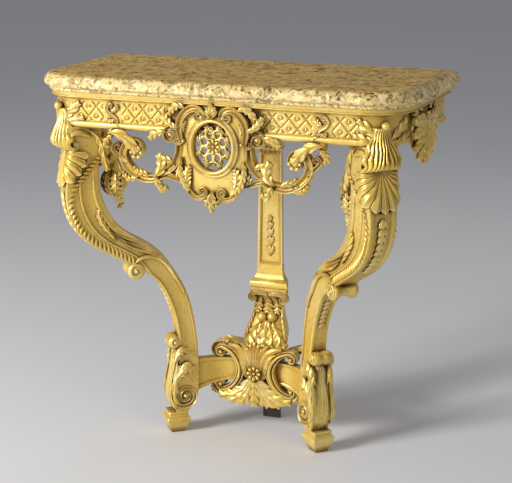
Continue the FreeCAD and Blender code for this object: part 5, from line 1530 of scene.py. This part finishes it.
    def build(self, finishes: Finishes) -> None:
        """Build and dress the apron."""
        for carve in (self.cartouche, self.fretwork, self.crest, self.drop):
            carve(finishes.gilt)
        for word, hand in SIDES:
            self.rinceau(word, hand, finishes.gilt)


@dataclass
class SidePendant:
    """The carved drop under a side rail."""

    word: str
    hand: int
    plane: float = 398.0
    middle: float = -5.0

    def build(self, finish: Material) -> None:
        """Carve and dress the drop."""
        out = (self.hand, 0, 0)
        board = Board((self.hand * self.plane, self.middle, 0), (0, self.hand, 0), (0, 0, 1), out)
        stock = Stock()
        stock.lathe(board, (0, 748), ((84, 0.2), (84, 4), (70, 7), (46, 9), (20, 11), (6, 11)), 48, 0.5)
        for k in range(-4, 5):
            swing = math.radians(k * 24)
            long = 84 + 6 * (abs(k) % 2) if abs(k) > 2 else 112 - 8 * abs(k)
            side, down = math.sin(swing), math.cos(swing) * 0.82
            points = ((side * 6, 776), (side * long * 0.45, 774 - down * long * 0.42),
                      (side * long, 772 - down * long))
            stock.spray(board, points, (8, 16, 18, 12), (4, 13, 16, 13, 3), 6.0, 5, 44, back=9.0)
        for flip in (1, -1):
            stock.scroll(board, mirrored(((10, 790), (38, 797), (66, 784), (76, 760)), flip),
                         (4, 7, 8, 7, 5, 2), (8, 9, 9, 8, 6), 0.5, 120, last=(14, 2.4, 430, -flip))
            for points in (((30, 792), (40, 803), (56, 806)), ((58, 788), (68, 796), (80, 792))):
                stock.spray(board, mirrored(points, flip), (10, 12, 10), (4, 8, 6, 1), 3.6, 3, 24, back=8.0)
        stock.bloom(board.moved(14.0), (0, 776), 16.0, 7, 7.0, 8.0)
        dress(stock.build("side_pendant_" + self.word, finish), "gilt", self.word + "_side_pendant")


# The rear support


@dataclass
class RearSupport:
    """The middle support at the wall: capital, tapered pilaster, flared base, bulged bracket and block."""

    back: float = 190.0
    narrow: float = 0.66
    chamfer: float = 1.2
    shaft_foot: float = 378.0
    shaft_top: float = 650.0
    shaft_front: float = 152.0

    def prism(self, rows: Points) -> Stock:
        """Skin level sections given as height, half width and front depth.

        Args:
            rows: Sections from one end to the other.

        Returns:
            New stock with the prism in it.
        """
        rings = []
        e = self.chamfer
        for z, half, front in rows:
            tail = half * self.narrow
            flat = np.array([(-tail, self.back), (tail, self.back), (half, front + 6), (half, front + e),
                             (half - e, front), (0, front), (e - half, front), (-half, front + e),
                             (-half, front + 6)])
            rings.append(np.column_stack([flat, np.full(len(flat), z)]))
        stock = Stock()
        stock.skin(np.array(rings))
        return stock

    def shaft(self, finish: Material) -> None:
        """Carve the pilaster with its sunk, pounced panel."""
        stock = Stock()
        low, high = self.shaft_foot, self.shaft_top
        z = np.linspace(low + 0.2, high - 0.2, 110)[:, None]
        v = np.linspace(-1, 1, 33)[None]
        half = np.interp(z, (low, high), (31, 27))
        inset = np.minimum(np.abs(v) * -half + half, np.minimum(z - low, high - z))
        sunk = np.clip((inset - 7.2) / 1.2, 0, 1) * 4.0
        lip = 1.4 * np.exp(-(((inset - 5.6) / 1.3) ** 2))
        x = half * v
        level = np.broadcast_to(z, x.shape)
        top = np.stack([x, self.shaft_front + sunk - lip, level], axis=-1)
        behind = np.stack([x[:, ::-1] * self.narrow, np.full(x.shape, self.back), level], axis=-1)
        stock.skin(np.concatenate([top, behind], axis=1))
        board = facing_room(155.8)
        for stalk, long, wide in ((400, 28, 9.4), (424, 26, 8.6), (446, 23, 7.6), (465, 20, 6.4),
                                  (482, 16, 5)):
            for lean in (-0.5, 0.5, 0.0):
                tip = (lean * wide * 1.9, stalk + long * (0.86 if lean else 1.0))
                stock.spray(board, ((0, stalk), (lean * wide, stalk + long * 0.5), tip), (0.6, 2.6, 1.4),
                            (1.2, wide * 0.55, 0.8), 1.9, 1, 14, **FOLD, back=1.0, across=7)
        dress(stock.build("pilaster_shaft", finish, 40), "gilt", "rear_pilaster")

    def capital(self, finish: Material) -> None:
        """Carve the capital with its volutes and leaves."""
        stock = self.prism(((649.9, 29, 150.5), (654, 33, 147), (658, 33, 147), (661, 29.5, 150),
                            (672, 30, 150), (688, 32, 149), (702, 36, 147), (712, 40, 145), (716, 44, 143),
                            (728, 46, 142), (735.9, 46, 142)))
        for hand in (1, -1):
            stock.scroll(facing_room(146.5), mirrored(((4, 706), (20, 708), (34, 698)), hand), (3, 4.4, 4, 2),
                         (5.0,), 5.0, 80, last=(10, 1.8, 430, -hand))
        for x, top, wide in ((-27, 712, 9), (27, 712, 9), (-14, 716, 10), (14, 716, 10), (0, 722, 11)):
            points = ((x * 0.8, 151, 646), (x * 0.9, 148, 676), (x, 145, top - 16), (x * 1.1, 136, top))
            widths = along((4, wide * 0.8, wide, wide * 0.9, 3), 40)
            stock.leaf(smooth(points, 40), (x * 0.01, -1, 0.1), widths, 4.4, 4, back=6.0)
        dress(stock.build("pilaster_capital", finish, 40), "gilt", "rear_capital")

    def base(self, finish: Material) -> None:
        """Carve the flared base and the bracket with its volutes and leaves."""
        rows = [(378.1, 31.5, 151.8), (374, 31.8, 151.6), (368, 32.6, 151.2)]
        rows += [(364 - 24 * t, 33 + 13 * t**2.4, 151 - 10 * t**2.4) for t in np.linspace(0, 1, 9)]
        rows += [(337, 46.5, 140.5), (335, 48, 140), (331, 48.6, 139.6), (327, 47.6, 140.2), (325, 45.2, 142),
                 (322, 45.0, 142), (318.1, 44.6, 142.2)]
        dress(self.prism(rows).build("pilaster_base", finish, 35), "gilt", "rear_plinth")
        half = smooth(((46, 318), (47, 311), (42, 300), (36, 286), (38, 262), (47, 234), (52, 214), (50, 198),
                       (43, 185)), 60)[::-1]
        lean = smooth(((142, 318), (146, 304), (150, 286), (140, 256), (128, 220), (127, 206),
                       (138, 185)), 60)[::-1]
        stock = self.prism([(z, np.interp(z, half[:, 1], half[:, 0]), np.interp(z, lean[:, 1], lean[:, 0]))
                            for z in np.linspace(317.9, 185.1, 60)])
        for hand in (1, -1):
            stock.scroll(facing_room(141.5), mirrored(((2, 311), (26, 314), (40, 311)), hand),
                         (3, 4.6, 4.6, 4, 2), (5, 7, 7, 6), 9.0, 90, last=(10, 1.8, 470, -hand))
            line = scroll_line(mirrored(((36, 286), (36, 262), (45, 232), (50, 212)), hand),
                               last=(10, 2, 420, -hand), count=110)
            front = np.interp(line[:, 1], lean[:, 1], lean[:, 0])
            points = np.stack([line[:, 0], front - 1.0, line[:, 1]], axis=1)
            widths = along((3, 4, 5, 5, 4, 2), 110)
            stock.leaf(points, (hand * 0.4, -1, 0), widths, 3.0, 9, back=5.0, across=9)
        dress(stock.build("bracket_block", finish, 45), "gilt", "rear_bracket")

    def acanthus(self, finish: Material) -> None:
        """Carve the leaves and the fruit on the bracket."""
        stock = Stock()
        for x0, x1, wide in ((0, 0, 17), (-20, -38, 15), (20, 38, 15), (-8, -19, 13), (8, 19, 13)):
            points = ((x0 * 0.6, 142, 250), (x0, 134, 236), (x1 * 0.9, 126, 216), (x1, 116, 198),
                      (x1 * 1.1, 107, 191))
            widths = along((4, wide * 0.7, wide, wide, wide * 0.7, 3), 60)
            stock.leaf(smooth(points, 60), (x1 * 0.01, -1, 0.1), widths, 5.4, 4, notch=0.32, fold=0.42,
                       back=8.0)
        for x, wide in ((-22, 11), (22, 11), (0, 13)):
            points = ((x * 0.7, 147, 306), (x, 148, 290), (x * 1.1, 145, 274), (x * 1.1, 138, 266))
            stock.leaf(smooth(points, 44), (x * 0.01, -1, 0), along((4, wide, wide, 3), 44), 5.0, 4, back=6.0)
        for x, z, r in ((-13, 256, 13.0), (12, 258, 13.0), (0, 240, 10.0)):
            ball = [(r * math.sin(a), 2 + r * math.cos(a)) for a in np.linspace(math.pi * 0.7, 0.05, 9)]
            stock.lathe(facing_room(142), (x, z), ball, 20)
        dress(stock.build("bracket_acanthus", finish), "gilt", "rear_leaf")

    def foot(self, finish: Material) -> None:
        """Shape the block and foot at the wall, in near-black timber that paints the shade under the
        stretcher.
        """
        for word, rows in (
            ("block", ((184.9, 36, 141), (182, 37, 140), (98, 37, 140), (95.1, 36, 141))),
            ("foot", ((94.9, 21.8, 164.2), (60, 21.8, 164.2), (4, 21.8, 164.2), (0.0, 21.0, 165))),
        ):
            dress(self.prism(rows).build("rear_dark_" + word, finish, 30), "dark_wood", "rear_" + word)

    def ears(self, word: str, hand: int, finish: Material) -> None:
        """Carve the scroll ear on one side of the block."""
        stock = Stock()
        board = facing_room(165)
        stock.scroll(board, mirrored(((37.5, 162), (66, 174), (104, 178), (136, 171)), hand),
                     (9.4, 9.8, 9, 8, 6, 3), (13, 14, 14, 13, 10), 14.0, 130, last=(17, 4.0, 400, -hand))
        spine = board.at(smooth(mirrored(((60, 172), (80, 183), (104, 188), (120, 184)), hand), 40), 10.0)
        stock.leaf(spine, (0, -1, 0.4), along((4, 9, 8, 2), 40), 4.4, 3, notch=0.3, fold=0.3, back=9.0)
        dress(stock.build("rear_ear_" + word, finish), "gilt", word + "_rear_ear")

    def build(self, finishes: Finishes) -> None:
        """Build and dress the rear support."""
        for carve in (self.shaft, self.capital, self.base, self.acanthus):
            carve(finishes.gilt)
        self.foot(finishes.dark)
        for word, hand in SIDES:
            self.ears(word, hand, finishes.gilt)


# The stretcher


@dataclass
class Stretcher:
    """Arched rails that meet behind a pair of C-scrolls, leaves and a flower."""

    level: float = 171.0
    half: float = 11.0
    arris: float = 9.5
    scroll_front: float = 70.0
    hub_front: float = 72.0

    def rail(self, word: str, hand: int, finish: Material) -> None:
        """Carve one rail with its raised border."""
        plan = smooth(((27.5, 83), (88, 74), (141, 36)), 90)
        left = headings(plan)[1]
        low = np.interp(np.linspace(0, 1, 90), (0, 0.35, 0.7, 1), (119, 116, 107, 94))
        wide, edge = self.half, self.arris
        face = ((0.0, edge), (0.015, wide), (0.1, wide), (0.13, 10.2), (0.15, 8.2), (0.5, 8.0), (0.85, 8.2),
                (0.87, 10.2), (0.9, wide), (0.985, wide), (1.0, edge))
        behind = ((1.0, -edge), (0.985, -wide), (0.015, -wide), (0.0, -edge))
        rings = []
        for p, n, foot in zip(plan, -left, low):
            rings.append([(hand * (p[0] + n[0] * lift), p[1] + n[1] * lift, foot + (self.level - foot) * v)
                          for v, lift in face + behind])
        stock = Stock()
        stock.skin(np.array(rings, float))
        dress(stock.build("stretcher_rail_" + word, finish, 40), "gilt", word + "_stretcher")

    def c_scroll(self, word: str, hand: int, finish: Material) -> None:
        """Carve one of the C-scrolls."""
        stock = Stock()
        front = facing_room(self.scroll_front)
        points = ((82, 198), (60, 190), (42, 170), (36.5, 147), (43, 124), (60, 103), (82, 93))
        stock.scroll(front, mirrored(points, hand), (2.8, 5.0, 7.2, 9, 10, 10, 9, 7.2, 5.0, 2.8),
                     (7, 12, 16, 20, 22, 22, 20, 16, 12, 7), 14.0, 220, (15, 4.5, 300, -hand),
                     (14, 4.5, 300, hand), Section.REEDED)
        for x, z in ((87, 184), (88, 106)):
            stock.lathe(front, (hand * x, z), ((5.6, -6), (5.6, 8), (4.2, 12.4), (1.4, 14)), 18)
        stock.spray(front, mirrored(((92, 84), (104, 92), (108, 104)), hand), (8, 10, 8), (4, 6, 5, 1),
                    4.6, 4, 40, back=10.0)
        stock.lathe(front, (hand * 70, 212), ((5, -8), (5.4, 4), (4.4, 9), (1.6, 12)), 14)
        dress(stock.build("stretcher_c_scroll_" + word, finish), "gilt", word + "_stretcher_scroll")

    def ornament(self, finish: Material) -> None:
        """Carve the standing leaf, the fan and the flower."""
        stock = Stock()
        board = facing_room(self.hub_front)
        for x, top in ((-19, 204), (19, 204), (-10, 214), (10, 214), (0, 219)):
            points = ((0.3 * x, 118), (0.36 * x, 152), (0.62 * x, 184), (x, top))
            stock.spray(board, points, (10, 12, 14, 17), (3, 4, 5.4, 6, 2.4), 5.4, 1, 44, **FOLD, back=10.0,
                        across=11)
        for hand in (1, -1):
            for points, widths in (
                (((8, 134), (17, 164), (28, 187), (42, 200), (66, 206)), (5, 8, 8, 6, 2)),
                (((12, 130), (26, 155), (36, 177), (52, 193)), (4, 7, 7, 2)),
                (((5, 140), (12, 170), (22, 198), (34, 213)), (4, 6, 6, 2)),
                (((14, 126), (28, 144), (33, 162), (40, 178)), (4, 7, 6, 2)),
            ):
                stock.spray(board, mirrored(points, hand), (10, 13, 15, 14), widths, 5.0, 1, 50, notch=0.0,
                            fold=0.15, back=10.0)
        dress(stock.build("stretcher_acanthus", finish), "gilt", "stretcher_leaf")
        stock = Stock()
        for hand in (1, -1):
            for points, widths in (
                (((10, 136), (26, 106), (56, 87), (90, 82)), (10, 15, 15, 12, 4)),
                (((8, 132), (20, 104), (40, 82), (64, 71)), (10, 15, 16, 13, 4)),
                (((5, 130), (12, 104), (22, 82), (36, 66)), (9, 13, 14, 12, 4)),
            ):
                stock.spray(board, mirrored(points, hand), (9, 12, 15, 13), widths, 5.4, 4, 50, notch=0.34,
                            fold=0.35, back=10.0)
        stock.spray(board, ((0, 126), (0, 96), (0, 62)), (10, 14, 17, 14), (8, 12, 13, 12, 4), 5.4, 4, 44,
                    back=10.0)
        dress(stock.build("stretcher_leaf_fan", finish), "gilt", "stretcher_fan")
        stock = Stock()
        stock.bloom(board.moved(17.0), (0, 144), 17.0, 8, 8.0, 6.0, cut=0.2)
        dress(stock.build("stretcher_flower", finish), "gilt", "stretcher_rosette")

    def build(self, finishes: Finishes) -> None:
        """Build and dress the stretcher."""
        for carve in (self.rail, self.c_scroll):
            for word, hand in SIDES:
                carve(word, hand, finishes.gilt)
        self.ornament(finishes.gilt)


# The studio


@dataclass(frozen=True)
class Studio:
    """Floor, lights and the camera at the photograph's angle."""

    eye: tuple = (1.288, -3.156, 1.305)
    target: tuple = (0.026, 0.0, 0.473)
    lit: tuple = (0.0, 0.0, 0.5)
    focal_px: float = 1571.0
    width_px: float = 512.0
    sensor: float = 36.0
    floor_half: float = 30.0
    sky: tuple = (0.86, 0.87, 0.90, 1.0)
    sky_strength: float = 0.27

    @staticmethod
    def hang(thing: bpy.types.Object, spot: tuple, target: tuple) -> None:
        """Put a lamp or camera in its place and turn it to a target."""
        thing.location = spot
        thing.rotation_euler = (Vector(target) - Vector(spot)).to_track_quat("-Z", "Y").to_euler()
        bpy.context.scene.collection.objects.link(thing)

    def floor(self) -> None:
        """Lay the pale floor."""
        s = Shader("pale_floor")
        tone = s.noise(s.place(), 0.8, 2.0)
        colour = s.mix(tone, (0.74, 0.74, 0.76), (0.80, 0.80, 0.81))
        finish = s.finish({"Base Color": colour, "Roughness": 0.7})
        mesh = bpy.data.meshes.new("floor")
        h = self.floor_half
        mesh.from_pydata([(-h, -h, 0), (h, -h, 0), (h, h, 0), (-h, h, 0)], [], [(0, 1, 2, 3)])
        mesh.materials.append(finish)
        plane = bpy.data.objects.new("floor", mesh)
        bpy.context.scene.collection.objects.link(plane)

    def lamp(self, name: str, spot: tuple, size: float, power: float) -> None:
        """Hang a square soft lamp that faces the table."""
        data = bpy.data.lights.new(name, "AREA")
        data.size, data.energy = size, power
        self.hang(bpy.data.objects.new(name, data), spot, self.lit)

    def build(self) -> None:
        """Set up the studio."""
        scene = bpy.context.scene
        scene.view_settings.view_transform = "Standard"
        self.floor()
        world = bpy.data.worlds.new("studio")
        world.use_nodes = True
        sky = world.node_tree.nodes["Background"].inputs
        sky[0].default_value, sky[1].default_value = self.sky, self.sky_strength
        scene.world = world
        self.lamp("key", (-2.4, -3.1, 2.0), 1.2, 185.0)
        self.lamp("fill", (3.0, -2.4, 1.8), 2.2, 17.0)
        self.lamp("rim", (0.6, 2.2, 2.6), 1.6, 7.0)
        data = bpy.data.cameras.new("camera")
        data.sensor_fit, data.sensor_width = "HORIZONTAL", self.sensor
        data.lens = self.focal_px / self.width_px * self.sensor
        camera = bpy.data.objects.new("camera", data)
        self.hang(camera, self.eye, self.target)
        scene.camera = camera


def coat_cad(finishes: Finishes) -> None:
    """Give the CAD nodes that stay in sight their finishes."""
    plain = {"marble": finishes.marble, "oak": finishes.oak, "dark_wood": finishes.dark,
             "gilt": finishes.gilt}
    slots = {row["node"]: row["material_slot"] for row in frame["record"]["subparts"]}
    for name, node in frame["nodes"].items():
        finish = plain[slots.get(name, "gilt")]
        if not node.data.materials:
            node.data.materials.append(finish)
        for slot in node.material_slots:
            slot.material = finish


def main() -> None:
    """Build the studio and every piece of the table."""
    logging.basicConfig(level=logging.INFO, format="%(name)s %(message)s")
    Studio().build()
    finishes = Finishes(
        gilt=Gilding().build(),
        marble=Breccia().build(),
        oak=Timber("plain_oak", (0.42, 0.28, 0.15), (0.24, 0.14, 0.07)).build(),
        # Near-black timber for the rear block and foot: painted shade under the stretcher.
        dark=Timber("painted_shade_timber", (0.10, 0.07, 0.05), (0.05, 0.035, 0.025), (14.0, 14.0, 1.0)).build(),
    )
    coat_cad(finishes)
    repeater = Repeater("repeat_carving")
    MarbleTop().build(finishes.marble)
    Frieze().build(finishes, repeater)
    for word, hand in SIDES:
        Leg(word, hand).build(finishes, repeater)
        SidePendant(word, hand).build(finishes.gilt)
    Apron().build(finishes)
    RearSupport().build(finishes)
    Stretcher().build(finishes)


if __name__ == "__main__":
    main()
